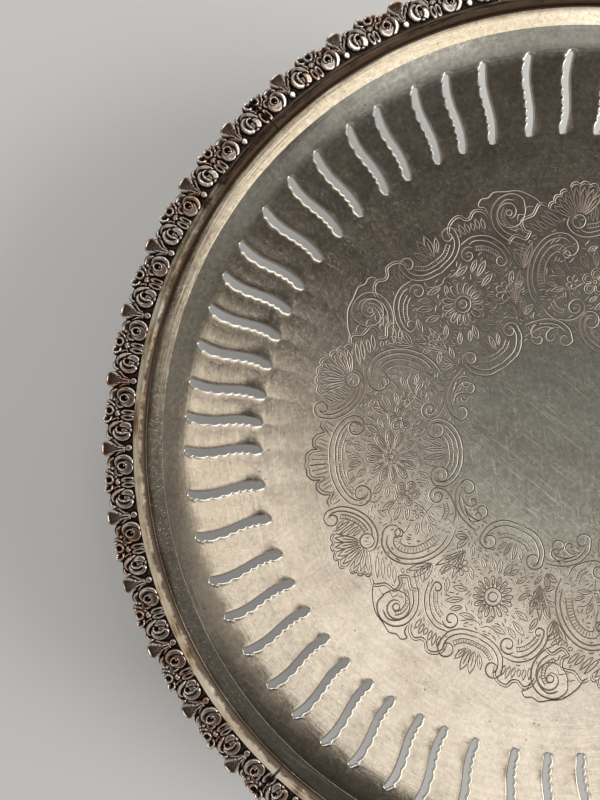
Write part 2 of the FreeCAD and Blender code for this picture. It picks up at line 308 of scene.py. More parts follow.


# Shades of the silver; its zones go by share of the dish's radius. On the dish the darker grey-green
# middle and the paler cream rim are painted reflections, and the last stop darkens the sheet where it
# meets the moulding.
TARNISH = (0.24, 0.185, 0.13)
BLOTCH = (0.15, 0.11, 0.08)
SCRATCHED = (0.75, 0.70, 0.62)
PITTED = (0.04, 0.03, 0.022)
SLOT_EDGE_HIGHLIGHT = (0.95, 0.92, 0.84)
DISH_ZONES_AND_REFLECTIONS = (
    (0.0, (0.40, 0.39, 0.335)),
    (0.24, (0.40, 0.39, 0.335)),
    (0.42, (0.46, 0.415, 0.355)),
    (0.68, (0.47, 0.415, 0.35)),
    (0.88, (0.46, 0.405, 0.335)),
    (0.96, (0.54, 0.48, 0.39)),
    (0.990, (0.52, 0.455, 0.36)),
    (0.998, (0.11, 0.08, 0.058)),
)
FOOT_ZONES = (
    (0.0, (0.50, 0.45, 0.37)),
    (0.25, (0.48, 0.43, 0.35)),
    (0.5, (0.44, 0.38, 0.30)),
)
# hairline scratches that cross at an angle: turn in degrees and fineness
SCRATCH_RUNS = ((38.0, 2400.0), (-52.0, 2900.0), (81.0, 3300.0))
SCRATCH_STRETCH = (0.02, 1.0, 1.0)
SILVER_ROUGH = 0.07


def scratch_marks(n, place):
    """Where the hairline scratches lie."""
    scratches = None
    for turn_deg, fine in SCRATCH_RUNS:
        inputs = {"Vector": place, "Angle": math.radians(turn_deg)}
        turned = n.add("VectorRotate", inputs, rotation_type="Z_AXIS").outputs[0]
        stretched = n.add("VectorMath", {0: turned, 1: SCRATCH_STRETCH}, operation="MULTIPLY")
        hair = n.noise(stretched.outputs[0], fine, 1.0, 0.5)
        mark = n.grey_ramp(hair, ((0.66, 0.0), (0.72, 1.0)))
        scratches = mark if scratches is None else n.math("MAXIMUM", scratches, mark)
    return scratches


def pit_marks(n, place):
    """Where the few small pits lie."""
    pits = n.add("TexVoronoi", {"Vector": place, "Scale": 380.0}).outputs["Distance"]
    few = n.grey_ramp(n.noise(place, 70.0, 2.0), ((0.54, 0.0), (0.62, 1.0)))
    return n.math("MULTIPLY", n.grey_ramp(pits, ((0.06, 1.0), (0.13, 0.0))), few)


def silver_material(name, zones):
    """Tarnished silver plate; zones colour it by distance from the axis, and on the dish they also paint
    reflections.
    """
    n = Nodes(name)
    place, r, bent = polar(n, 5.0, 900.0)
    share = n.math("DIVIDE", r, EDGE_R * MM)
    clouds = n.noise(place, 26.0, 5.0, 0.62)
    blotch = n.noise(place, 110.0, 5.0, 0.7)
    speckle = n.noise(place, 700.0, 3.0, 0.7)
    # zone colours by radius; on the dish they hold painted reflections
    base = n.ramp(n.ragged(share, clouds, 0.03), zones)
    base = n.stain(base, clouds, ((0.45, 0.0), (0.75, 0.35)), TARNISH)
    base = n.stain(base, blotch, ((0.56, 0.0), (0.72, 0.3)), BLOTCH)
    base = n.mix(0.30, base, n.grey_ramp(speckle, ((0.35, 0.3), (0.65, 0.7))), "OVERLAY")
    # turned marks fade out towards the middle
    lines = n.math("ADD", n.noise(bent, 1.0, 3.0, 0.7), -0.5)
    turned = n.grey_ramp(share, ((0.30, 0.0), (0.80, 1.0)))
    lines = n.math("MULTIPLY_ADD", lines, turned, 0.5)
    base = n.mix(0.22, base, n.grey_ramp(lines, ((0.3, 0.35), (0.7, 0.68))), "OVERLAY")
    scratches = scratch_marks(n, place)
    base = n.mix(n.math("MULTIPLY", scratches, 0.14), base, (*SCRATCHED, 1))
    pits = pit_marks(n, place)
    base = n.mix(n.math("MULTIPLY", pits, 0.8), base, (*PITTED, 1))
    # painted highlight along the scalloped edge of each slot, ragged by a speckle
    highlight_share = n.ragged(n.field("polished"), speckle, 0.5)
    base = n.stain(base, highlight_share, ((0.35, 0.0), (0.6, 1.0)), SLOT_EDGE_HIGHLIGHT)
    # the turned-up rim is smoother than the bowl, and more dented
    rough = n.math("MULTIPLY_ADD", speckle, 0.06, SILVER_ROUGH)
    rough = n.math("MULTIPLY_ADD", blotch, 0.08, rough)
    rim = n.grey_ramp(share, ((0.945, 1.0), (0.965, 0.0)))
    rough = n.math("MULTIPLY", rough, n.math("MULTIPLY_ADD", rim, 0.5, 0.5))
    dents = n.bump(n.noise(place, 34.0, 2.0), n.math("MULTIPLY_ADD", rim, 0.12, 0.04), 0.0006)
    bumps = n.math("MULTIPLY_ADD", lines, 0.5, n.math("MULTIPLY", pits, -1.0))
    bumps = n.math("MULTIPLY_ADD", scratches, -0.15, bumps)
    return n.surface(base, rough, n.bump(bumps, 0.05, 0.0004, dents))


# Shades of the castings, with painted shade in the recesses of the ornament and painted highlights on its
# ridges, and the sides where their moulding differs by painted light
ORNAMENT_SHADE_AND_HIGHLIGHT = (
    (0.0, (0.010, 0.007, 0.006)),
    (0.22, (0.035, 0.026, 0.021)),
    (0.42, (0.12, 0.09, 0.077)),
    (0.66, (0.40, 0.32, 0.275)),
    (0.90, (0.80, 0.70, 0.60)),
)
COPPER = (0.75, 0.42, 0.24)
CREAM_STAINS = (
    (0.44, (0.92, 0.84, 0.68)),
    (0.59, (0.78, 0.62, 0.42)),
    (0.68, (0.26, 0.14, 0.07)),
)
SHADED_SIDE_STREAKS = ((0.42, (0.018, 0.013, 0.009)), (0.60, (0.075, 0.055, 0.038)))
INNER_FOOT_DARK = (0.09, 0.055, 0.035)
OUTER_FOOT_SHADE = (0.03, 0.02, 0.015)
SHADED_SIDE = (-0.34, 0.94, 0.0)
LIT_SIDE = (-0.77, -0.64, 0.0)


def moulding_base(n, place, relief, streaks):
    """Colour of the stained moulding: cream, with painted shade in dark brown streaks on one side, darker
    at its inner foot, and painted shade where it meets the ornament.
    """
    patches = n.noise(place, 75.0, 4.0, 0.6)
    stain = n.math("MULTIPLY_ADD", streaks, 0.55, n.math("MULTIPLY", patches, 0.55))
    cream = n.ramp(stain, CREAM_STAINS)
    outward = n.add("VectorMath", {0: place}, operation="NORMALIZE").outputs[0]
    # painted shade: one side of the ring turns dark brown with streaks
    side_shade = n.ragged(n.dot(outward, SHADED_SIDE), patches, 0.5)
    side_shade = n.grey_ramp(side_shade, ((0.48, 0.0), (0.66, 1.0)))
    cream = n.mix(side_shade, cream, n.ramp(streaks, SHADED_SIDE_STREAKS))
    # darker at the inner foot of the moulding
    inner = n.ragged(relief, n.noise(place, 260.0, 5.0, 0.7), 1.1)
    cream = n.stain(cream, inner, ((0.24, 0.95), (0.50, 0.0)), INNER_FOOT_DARK)
    # painted shade where the moulding meets the ornament
    outer = n.ragged(relief, patches, 0.4)
    cream = n.stain(cream, outer, ((0.93, 0.0), (1.0, 0.9)), OUTER_FOOT_SHADE)
    # painted light: one side is made dull, so it shows pale
    pale_lit_side = n.grey_ramp(n.dot(outward, LIT_SIDE), ((0.45, 0.0), (0.85, 1.0)))
    return cream, pale_lit_side


def cast_material(name):
    """Cast ornament with painted shade in its recesses and painted highlights on its ridges, beside a
    stained moulding.
    """
    n = Nodes(name)
    place, _, bent = polar(n, 14.0, 1500.0)
    relief = n.field("relief")
    moulding = n.field("moulding")
    grain = n.noise(place, 900.0, 3.0, 0.6)
    height = n.ragged(relief, grain, 0.26)
    # painted shade in the recesses and painted highlights on the ridges, read from the relief field
    ornament = n.ramp(height, ORNAMENT_SHADE_AND_HIGHLIGHT)
    copper = n.grey_ramp(n.noise(place, 130.0, 3.0), ((0.50, 0.0), (0.70, 0.7)))
    ornament = n.mix(copper, ornament, (*COPPER, 1), "MULTIPLY")
    streaks = n.noise(bent, 1.0, 4.0, 0.65)
    cream, pale_lit_side = moulding_base(n, place, relief, streaks)
    base = n.mix(moulding, ornament, cream)
    # painted light: the pale side loses most of its metal
    metal = n.math("MULTIPLY_ADD", n.math("MULTIPLY", pale_lit_side, moulding), -0.9, 1.0)
    rough = n.grey_ramp(height, ((0.0, 0.7), (0.5, 0.38), (1.0, 0.24)))
    bumps = n.math("MULTIPLY_ADD", streaks, 0.5, grain)
    return n.surface(base, rough, n.bump(bumps, 0.3, 0.0002), metal)


# Shades of a cut, from its bright wall to its dark one: a painted highlight on one wall and painted shade
# on the other
CUT_TONES = (
    (0.12, (0.50, 0.44, 0.38)),
    (0.45, (0.30, 0.23, 0.18)),
    (0.85, (0.07, 0.05, 0.038)),
)


def engraved_material(name):
    """Cut lines: one wall of each cut has a painted highlight and the other painted shade."""
    n = Nodes(name)
    place = n.add("TexCoord").outputs["Object"]
    # the cut field is painted shade: low on the bright wall, high on the dark one
    dark = n.ragged(n.field("cut"), n.noise(place, 260.0, 3.0), 0.5)
    rough = n.grey_ramp(dark, ((0.2, 0.42), (0.8, 0.3)))
    return n.surface(n.ramp(dark, CUT_TONES), rough)


BRASS_TONES = ((0.3, (0.52, 0.40, 0.20)), (0.7, (0.30, 0.22, 0.11)))


def brass_material(name):
    """Turned brass with cloudy tarnish."""
    n = Nodes(name)
    place, _, bent = polar(n, 4.0, 2600.0)
    lines = n.noise(bent, 1.0, 2.0, 0.7)
    base = n.ramp(n.noise(place, 160.0, 4.0), BRASS_TONES)
    rough = n.math("MULTIPLY_ADD", lines, 0.2, 0.3)
    return n.surface(base, rough, n.bump(lines, 0.2, 0.0002))


dish_silver = silver_material("dish_silver", DISH_ZONES_AND_REFLECTIONS)
foot_silver = silver_material("foot_silver", FOOT_ZONES)
border_metal = cast_material("border_metal")
fitting_brass = brass_material("fitting_brass")
engraved_metal = engraved_material("engraved_metal")

# Dish
BOWL_RISE = SHOULDER_Z - WELL_Z
BOWL_SPHERE_R = (SHOULDER_R ** 2 + BOWL_RISE ** 2) / (2 * BOWL_RISE)


def bowl_z(r):
    """Height of the spherical bowl."""
    return WELL_Z + BOWL_SPHERE_R - np.sqrt(BOWL_SPHERE_R ** 2 - r ** 2)


def rim_z(r):
    """The bowl eases near the shoulder, then turns up to the moulding."""
    run = CREASE_R - EASE_OUT - EASE_R
    low = bowl_z(EASE_R)
    steep = EASE_R / math.sqrt(BOWL_SPHERE_R ** 2 - EASE_R ** 2)
    rise = LAND_Z - TURN_UP_SLOPE * TURN_UP_W - low
    eased = (rise - steep * run / 2) / (run / 2 + EASE_OUT)
    t = np.clip((r - EASE_R) / run, 0, 1)
    gentle = low + steep * t * run + (eased - steep) * run * (t ** 3 - t ** 4 / 2)
    gentle = gentle + eased * np.maximum(r - EASE_R - run, 0)
    turned = LAND_Z - TURN_UP_SLOPE * (EDGE_R - r)
    across = np.clip((r - CREASE_R) / TURN_UP_ROUND, -CREASE_REACH, CREASE_REACH)
    return gentle + (turned - gentle) / (1 + np.exp(-across))


def dish_z(r):
    """Height of the top of the dish at any radius."""
    r = np.asarray(r, float)
    z = np.where(r > EASE_R, rim_z(r), bowl_z(np.minimum(r, SHOULDER_R)))
    beyond = r - EDGE_R
    return np.where(beyond > 0, LAND_Z - np.maximum(beyond - LAND_W, 0) * FALL, z)


def slot_angles():
    """Where the slots stand, in radians, with the first one again at the end."""
    steps = np.array([SLOT_STEP_SHARES[i % len(SLOT_STEP_SHARES)] for i in range(SLOT_COUNT)])
    steps *= 360.0 / steps.sum()
    return np.radians(SLOT_FIRST_DEG + np.concatenate([[0], np.cumsum(steps)]))


def slot_profile(share):
    """Middle line and both half widths of a slot at a share of its length."""
    middle = SLOT_SWAY * math.sin(2 * math.pi * share) - SLOT_LEAN * (1 - share)
    into_end = max(0.0, 1 - min(share, 1 - share) / SLOT_END_SHARE)
    full = math.sqrt(1 - into_end ** 2)
    bite = 0.0
    for a, b in SLOT_BITES:
        if a < share < b:
            q = (share - a) / (b - a)
            bite = 4 * q * (1 - q)
    half = SLOT_W / 2
    return middle, half * full, (half + SLOT_BITE * (bite - 0.5)) * full


def slot_shares():
    """Rows through a slot, from its inner end to its outer one."""
    quarters = np.arange(SLOT_END_ROWS) / SLOT_END_ROWS * math.pi / 2
    ends = SLOT_END_SHARE * (1 - np.cos(quarters))
    rows = [*ends, *(1 - ends), 1 - SLOT_END_SHARE]
    for a, b in SLOT_BITES:
        rows += [a + (b - a) * i / SLOT_ROWS_A_BITE for i in range(SLOT_ROWS_A_BITE)]
    return sorted(set(round(float(s), SHARE_DIGITS) for s in rows), reverse=True)


def rings_between(low, high, rings):
    """Radii from one to another, as far inside them as the rings say."""
    first, last, count = rings
    return list(np.linspace(low + first, high + last, count))


def dish_rows():
    """Rows of the sheet, from the middle out, as (radius, share of a slot)."""
    inner = [r for r in WELL_RINGS if r < SLOT_INNER_R - WELL_RING_GAP]
    inner += [SLOT_INNER_R - d for d in reversed(NEAR_SLOT_RINGS)]
    outer = [SLOT_OUTER_R + d for d in NEAR_SLOT_RINGS]
    outer += rings_between(SLOT_OUTER_R, CREASE_R, BAND_RINGS)
    outer += [CREASE_R + d for d in CREASE_RINGS]
    outer += rings_between(CREASE_R, EDGE_R, TURN_UP_RINGS)
    outer += [EDGE_R + d for d in FLANGE_RINGS]
    rows = [(r, None) for r in inner]
    rows += [(SLOT_OUTER_R - SLOT_LEN * share, share) for share in slot_shares()]
    return rows + [(r, None) for r in outer]


def bend_at(share):
    """How far the plain side of a slot is bent up at a share of its length."""
    fade = min(1.0, (1 - share) / BENT_END_SHARE)
    bend = BENT_RISE * math.exp(-((share - BENT_AT_SHARE) / BENT_SPREAD_SHARE) ** 2)
    return bend * fade * fade * (3 - 2 * fade)


def strip_row(r, share, angles):
    """A row of points across every strip between two slots, and its painted edge highlight."""
    middle = plain = scalloped = gap = bend = 0.0
    at_r = r
    if share is not None:
        middle, plain, scalloped = slot_profile(share)
        bend = bend_at(share)
    elif r > SLOT_OUTER_R:
        middle, at_r, gap = -SLOT_LEAN, SLOT_OUTER_R, r - SLOT_OUTER_R
    else:
        gap = SLOT_INNER_R - r
    strip = np.array(STRIP_SHARES)
    start = (angles[:-1] + (middle + scalloped) / at_r)[:, None]
    stop = (angles[1:] + (middle - plain) / at_r)[:, None]
    turn = start + (stop - start) * strip
    wide = (stop - start) * r
    away = np.hypot(np.minimum(strip, 1 - strip) * wide, gap)
    lip = np.where(strip < 0.5, BURR_RISE, PLAIN_RISE) * plain / (SLOT_W / 2)
    z = dish_z(r) + lip * np.exp(-(away / LIP_WIDE) ** 2)
    z = z + bend * np.exp(-((1 - strip) * wide / BENT_WIDE) ** 2)
    z = z + STRIP_CROWN * math.exp(-(gap / CROWN_FADE) ** 2) * np.sin(math.pi * strip)
    # painted highlight on the scalloped side of each slot only
    polish = np.exp(-(away / HIGHLIGHT_WIDE) ** 2) * (strip < 0.5)
    return np.stack([r * np.cos(turn), r * np.sin(turn), z], 2), polish


def make_dish():
    angles = slot_angles()
    made = [strip_row(r, share, angles) for r, share in dish_rows()]
    points = np.stack([row for row, _ in made], 1)
    polished = np.stack([polish for _, polish in made], 1)
    verts = np.vstack([points.reshape(-1, 3), [[0, 0, dish_z(0.0)]]])
    cols = len(STRIP_SHARES)
    faces = []
    first = []
    for base in range(0, len(verts) - 1, len(made) * cols):
        faces += grid_faces(len(made), cols, base)
        first += range(base, base + cols - 1)
    # the small round middle
    faces += [(len(verts) - 1, a, b) for a, b in zip(first, first[1:] + first[:1])]
    polished = np.append(polished, 0)
    piece = new_object("dish_sheet", verts, faces, dish_silver, "silver_sheet", polished=polished)
    weld = piece.modifiers.new("weld", "WELD")
    weld.merge_threshold = WELD_GAP * MM
    thick = piece.modifiers.new("thickness", "SOLIDIFY")
    thick.thickness = SHEET_T * MM
    thick.offset = -1
    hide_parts("pierced_dish")


# Engraving in the well
# Drawn flat in millimetres: out runs from the axis of the dish along the
# middle of the motif, and side runs across it. The numbers of a line go
# side, out, side, out.
ENGRAVED_AXES_DEG = (185.0, 65.0, 305.0)
BETWEEN_AXES_DEG = (125.8, 245.8, 5.8)
LINE_W = 0.56
FINE_W = 0.40
CUT_W = LINE_W * 0.95
LINE_STEP = 0.6
BAND_STEP = 0.1
# a line with as many points as this is used as it is
DENSE_COUNT = 30
CURL_CLOSE_SHARE = 0.28
CURL_POINTS_A_TURN = 22
CURL_POINTS_LEAST = 8
RING_POINTS_A_MM = 12
RING_POINTS_LEAST = 10
BAND_PITCH = 0.85
BAND_CUT_SHARE = 0.36
# outlines in shares, as (along, across)
LEAF_SHARES = ((0, 0), (0.3, 0.9), (0.65, 1), (1, 0))
LEAF_VEIN_SHARES = (0.12, 0.7)
PETAL_SHARES = ((0, 0), (0.45, 1), (0.9, 0.75), (1, 0), (0.9, -0.75), (0.45, -1), (0, 0))
PETAL_VEIN_SHARES = ((0.15, 0.5), (0.72, 1))
SHELL_EDGE_GAP = 0.75
SHELL_SCALLOP = 0.9
SHELL_ROUNDNESS = 0.7
SHELL_RIM_GAP = 1.5
SHELL_LOOP_SHARES = (0.22, 0.55)
SHELL_LINE_SHARE = 0.3
FRILL_EDGE = 0.8
RIB_W = 1.1
SPRIG_W = 0.8
# Across a cut, in half widths: place, height over the sheet and darkness, which is painted shade
CUT_ROWS = ((-1.0, 0.055, 0.0), (-0.30, 0.015, 0.1), (-0.05, 0.012, 1.0), (1.0, 0.06, 0.85))
TAPER_STEEP = 8
TAPER_LEAST = 0.45


def pairs(points):
    return np.asarray(points, float).reshape(-1, 2)


def smooth(points, step=LINE_STEP):
    """A smooth line through the points, in even short steps."""
    p = pairs(points)
    if len(p) == 2:
        count = max(2, int(np.hypot(*(p[1] - p[0])) / step) + 1)
        return p[0] + (p[1] - p[0]) * np.linspace(0, 1, count)[:, None]
    ext = np.vstack([2 * p[0] - p[1], p, 2 * p[-1] - p[-2]])
    out = []
    for a, b, c, d in zip(ext, ext[1:], ext[2:], ext[3:]):
        count = max(2, int(np.hypot(*(c - b)) / step))
        t = np.linspace(0, 1, count, endpoint=False)[:, None]
        out.append(0.5 * (2 * b + (c - a) * t + (2 * a - 5 * b + 4 * c - d) * t ** 2
                          + (3 * b - a - 3 * c + d) * t ** 3))
    return np.vstack(out + [p[-1:]])


def shifted(points, away):
    """The same line, moved sideways; positive goes to its left."""
    line = smooth(points)
    d = directions(line)
    return line + np.stack([-d[:, 1], d[:, 0]], 1) * away


class Engraver:
    """Gathers strokes for one motif; each is (points, width)."""

    def __init__(self):
        self.strokes = []

    def line(self, points, width=LINE_W):
        points = pairs(points)
        if len(points) < DENSE_COUNT:
            points = smooth(points)
        self.strokes.append((points, width))

    def lines(self, *rows):
        for row in rows:
            self.line(row, FINE_W)

    def curl(self, points, centre, turns, way):
        """A line that runs on into a spiral round the centre."""
        line = smooth(points)
        start = line[-1] - centre
        count = max(CURL_POINTS_LEAST, int(turns * CURL_POINTS_A_TURN))
        t = np.linspace(0, 1, count)[1:]
        r = np.hypot(*start) * (1 + (CURL_CLOSE_SHARE - 1) * t)
        turn = math.atan2(start[1], start[0]) + way * t * turns * 2 * math.pi
        self.strokes.append((np.vstack([line, points_round(centre, r, turn)]), LINE_W))

    def ring(self, centre, r):
        turn = np.linspace(0, 2 * math.pi, max(RING_POINTS_LEAST, int(r * RING_POINTS_A_MM)))
        self.strokes.append((points_round(centre, r, turn), LINE_W))

    def band(self, points, wide, pitch=BAND_PITCH):
        """A row of short cuts across a line, with an edge each side."""
        line = smooth(points, BAND_STEP)
        self.lines(shifted(points, wide / 2), shifted(points, -wide / 2))
        d = directions(line)
        run = np.concatenate([[0], np.cumsum(np.hypot(*np.diff(line, axis=0).T))])
        for at in np.arange(pitch / 2, run[-1], pitch):
            i = int(np.searchsorted(run, at))
            side = np.array([-d[i, 1], d[i, 0]]) * wide * BAND_CUT_SHARE
            self.strokes.append((np.array([line[i] - side, line[i] + side]), CUT_W))

    def leaf(self, base, tip, wide, vein=True):
        base = np.asarray(base, float)
        d = np.asarray(tip, float) - base
        side = np.array([-d[1], d[0]]) / np.hypot(*d) * wide / 2
        for sign in (1, -1):
            self.lines([base + d * along + side * across * sign for along, across in LEAF_SHARES])
        if vein:
            self.lines([base + d * along for along in LEAF_VEIN_SHARES])

    def leaves(self, *rows):
        """Leaves from rows of base, tip and width."""
        for row in rows:
            self.leaf(row[:2], row[2:4], row[4])

    def flower(self, centre, petals, r0, r1, wide, veins=0, start_deg=90.0):
        centre = np.asarray(centre, float)
        for k in range(petals):
            out = unit_vector(start_deg + 360.0 / petals * k)
            side = np.array([-out[1], out[0]]) * wide / 2
            root, run = centre + out * r0, out * (r1 - r0)
            self.lines([root + run * along + side * across for along, across in PETAL_SHARES])
            for j in range(veins):
                lean = side * (j - (veins - 1) / 2) * 0.5
                self.lines([root + run * along + lean * across for along, across in PETAL_VEIN_SHARES])

    def shell(self, centre, radius, from_deg, to_deg, ribs):
        """A scalloped fan with a double edge and ribs made of loops."""
        centre = np.asarray(centre, float)
        step = (to_deg - from_deg) / ribs
        quarters = np.arange(4 * ribs + 1) / 4
        scallops = SHELL_SCALLOP * (np.sin(math.pi * (quarters % 1)) ** SHELL_ROUNDNESS - 1)
        turn = np.radians(from_deg + step * quarters)
        self.line(points_round(centre, radius + scallops, turn))
        self.lines(points_round(centre, radius - SHELL_EDGE_GAP + scallops, turn))
        root_share, wide_share = SHELL_LOOP_SHARES
        wide = 2 * radius * math.sin(math.radians(abs(step) / 2)) * wide_share
        for k in range(ribs):
            out = unit_vector(from_deg + step * (k + 0.5))
            self.leaf(centre + out * radius * root_share, centre + out * (radius - SHELL_RIM_GAP), wide)
        for k in range(ribs + 1):
            out = unit_vector(from_deg + step * k)
            self.lines([centre + out * radius * SHELL_LINE_SHARE, centre + out * (radius - SHELL_RIM_GAP)])

    def loops(self, wide, *rows):
        """Plain loops from rows of base and tip."""
        for row in rows:
            self.leaf(row[:2], row[2:], wide, vein=False)

    def frill(self, edge, *ribs):
        """A wavy border with a second line inside it, and ribs made of loops."""
        self.line(edge)
        self.lines(shifted(edge, FRILL_EDGE))
        self.loops(RIB_W, *ribs)


def draw_main_scrolls(e):
    """Scrolls and shells of half of the large cartouche."""
    # outer C-scroll over the flower
    e.curl((0, 78.6, 5, 78.2, 10, 76.3, 13.7, 73.2, 15.1, 69.8), (11.2, 68.9), 1.25, -1)
    e.line((0, 76.7, 4.7, 76.3, 9.2, 74.7, 12.2, 72.3, 13.3, 69.8, 12.6, 67.4, 10.9, 66.6))
    e.band((0, 75.0, 4.4, 74.6, 8.4, 73.0, 10.8, 71.2), 1.4)
    # scalloped crest over it
    e.line((14.2, 79.8, 12.4, 80.4, 10.4, 79.2, 9.9, 81.6, 8.3, 83.3, 6.1, 83.4,
            5.0, 82.0, 4.8, 84.5, 3.1, 86.3, 1.5, 86.2, 0, 86.9))
    e.lines((13.4, 79.0, 12.2, 79.4, 10.0, 78.0, 9.1, 80.9, 8.0, 82.3, 6.4, 82.6,
             4.4, 80.4, 4.0, 84.0, 2.8, 85.3, 1.5, 85.2, 0, 86.0),
            (0, 79.3, 0, 85.2), (1.2, 79.3, 1.9, 84.6), (2.6, 79.2, 3.3, 83.8),
            (4.2, 79.0, 6.0, 81.8), (5.6, 78.7, 7.2, 81.9), (7.0, 78.3, 8.3, 81.3),
            (8.6, 77.7, 10.9, 78.9), (10.4, 77.0, 12.3, 78.8), (12.0, 75.9, 13.6, 78.4))
    # tall side scroll
    e.curl((30.4, 68.4, 29.7, 66.0, 26.6, 64.6, 22.6, 65.1, 18.6, 67.7, 15.7, 71.9,
            14.5, 76.3, 15.2, 80.1), (18.3, 79.4), 1.2, -1)
    e.line((25.4, 66.4, 22.6, 66.7, 19.5, 68.9, 17.0, 72.6, 15.9, 76.6, 16.5, 79.6, 18.0, 80.9))
    e.band((23.8, 68.2, 20.8, 70.2, 18.6, 73.4, 17.7, 76.6), 1.3)
    e.ring((26.8, 68.4), 2.3)
    e.loops(SPRIG_W, (20.4, 71.8, 23.6, 77.6), (21.6, 70.9, 24.2, 75.2), (19.6, 73.6, 22.4, 78.8),
            (19.2, 75.6, 21.4, 78.4), (22.8, 70.2, 24.6, 73.0))
    # shells and a frill beside it
    e.shell((26.8, 68.4), 12.4, 110, 46, 4)
    e.shell((26.8, 68.4), 11.6, 40, -4, 3)
    e.frill((38.6, 67.9, 41.0, 67.2, 41.2, 63.6, 43.6, 60.6, 41.6, 58.6, 39.6, 58.9,
             39.9, 55.6, 43.6, 54.9, 44.4, 52.0),
            (31.6, 65.5, 39.2, 66.2), (33.0, 63.8, 39.6, 64.4), (35.0, 61.8, 40.0, 62.3),
            (36.2, 60.2, 41.6, 60.6), (37.0, 57.6, 38.8, 57.4), (37.5, 55.8, 38.9, 55.3),
            (37.8, 53.4, 42.6, 52.8), (37.6, 51.2, 42.6, 51.0))
    # large side scroll with a beaded crescent
    e.curl((26.2, 37.8, 30.6, 40.6, 34.1, 45.2, 35.9, 51.2, 35.5, 57.0, 32.9, 61.3,
            28.8, 63.4, 24.8, 62.8), (25.6, 59.2), 0.75, 1)
    e.line((28.0, 40.8, 31.8, 44.4, 34.1, 49.8, 34.2, 55.4, 32.4, 59.6, 28.8, 61.8, 25.9, 61.3))
    e.band((28.0, 44.2, 30.4, 48.2, 31.5, 52.6, 30.7, 56.4, 28.5, 58.4, 26.4, 57.4), 2.2, 1.0)
    e.ring((25.4, 57.4), 1.3)


def draw_main_flowers(e):
    """Flowers, leaves and sprigs of half of the large cartouche."""
    e.flower((12.6, 53.4), 5, 0.8, 4.3, 2.9, 0, 70.0)
    e.flower((12.6, 53.4), 5, 1.4, 3.5, 1.5, 1, 70.0)
    e.ring((12.6, 53.4), 0.7)
    e.flower((19.2, 50.2), 5, 0.5, 2.3, 1.3)
    e.leaves((14.6, 57.8, 17.4, 62.6, 1.7), (16.6, 56.2, 21.2, 58.8, 1.6),
             (16.8, 53.6, 21.6, 54.4, 1.4), (8.4, 61.4, 11.6, 65.2, 1.8),
             (9.6, 59.6, 13.6, 60.8, 1.5), (6.0, 49.0, 8.4, 45.2, 1.5),
             (9.6, 49.6, 11.2, 46.6, 1.2), (3.0, 66.8, 5.4, 70.2, 1.6),
             (5.2, 70.4, 7.0, 72.6, 1.0), (0.6, 67.8, 1.4, 72.6, 1.7),
             (20.8, 47.4, 24.6, 44.4, 1.5), (22.6, 50.6, 26.6, 51.8, 1.4),
             (23.4, 47.2, 27.2, 46.0, 1.2), (17.2, 64.0, 19.6, 61.2, 1.3))
    e.lines((10.2, 57.4, 13.6, 57.0, 16.4, 59.6, 19.6, 60.8),
            (15.6, 51.6, 18.4, 48.2, 22.0, 46.4), (22.2, 53.0, 25.4, 55.6, 24.0, 57.4),
            (2.6, 70.8, 3.6, 73.0, 6.2, 72.4), (12.6, 62.0, 14.4, 64.6, 13.6, 66.2),
            (17.0, 44.8, 20.4, 48.2, 24.6, 49.8, 27.4, 48.4))


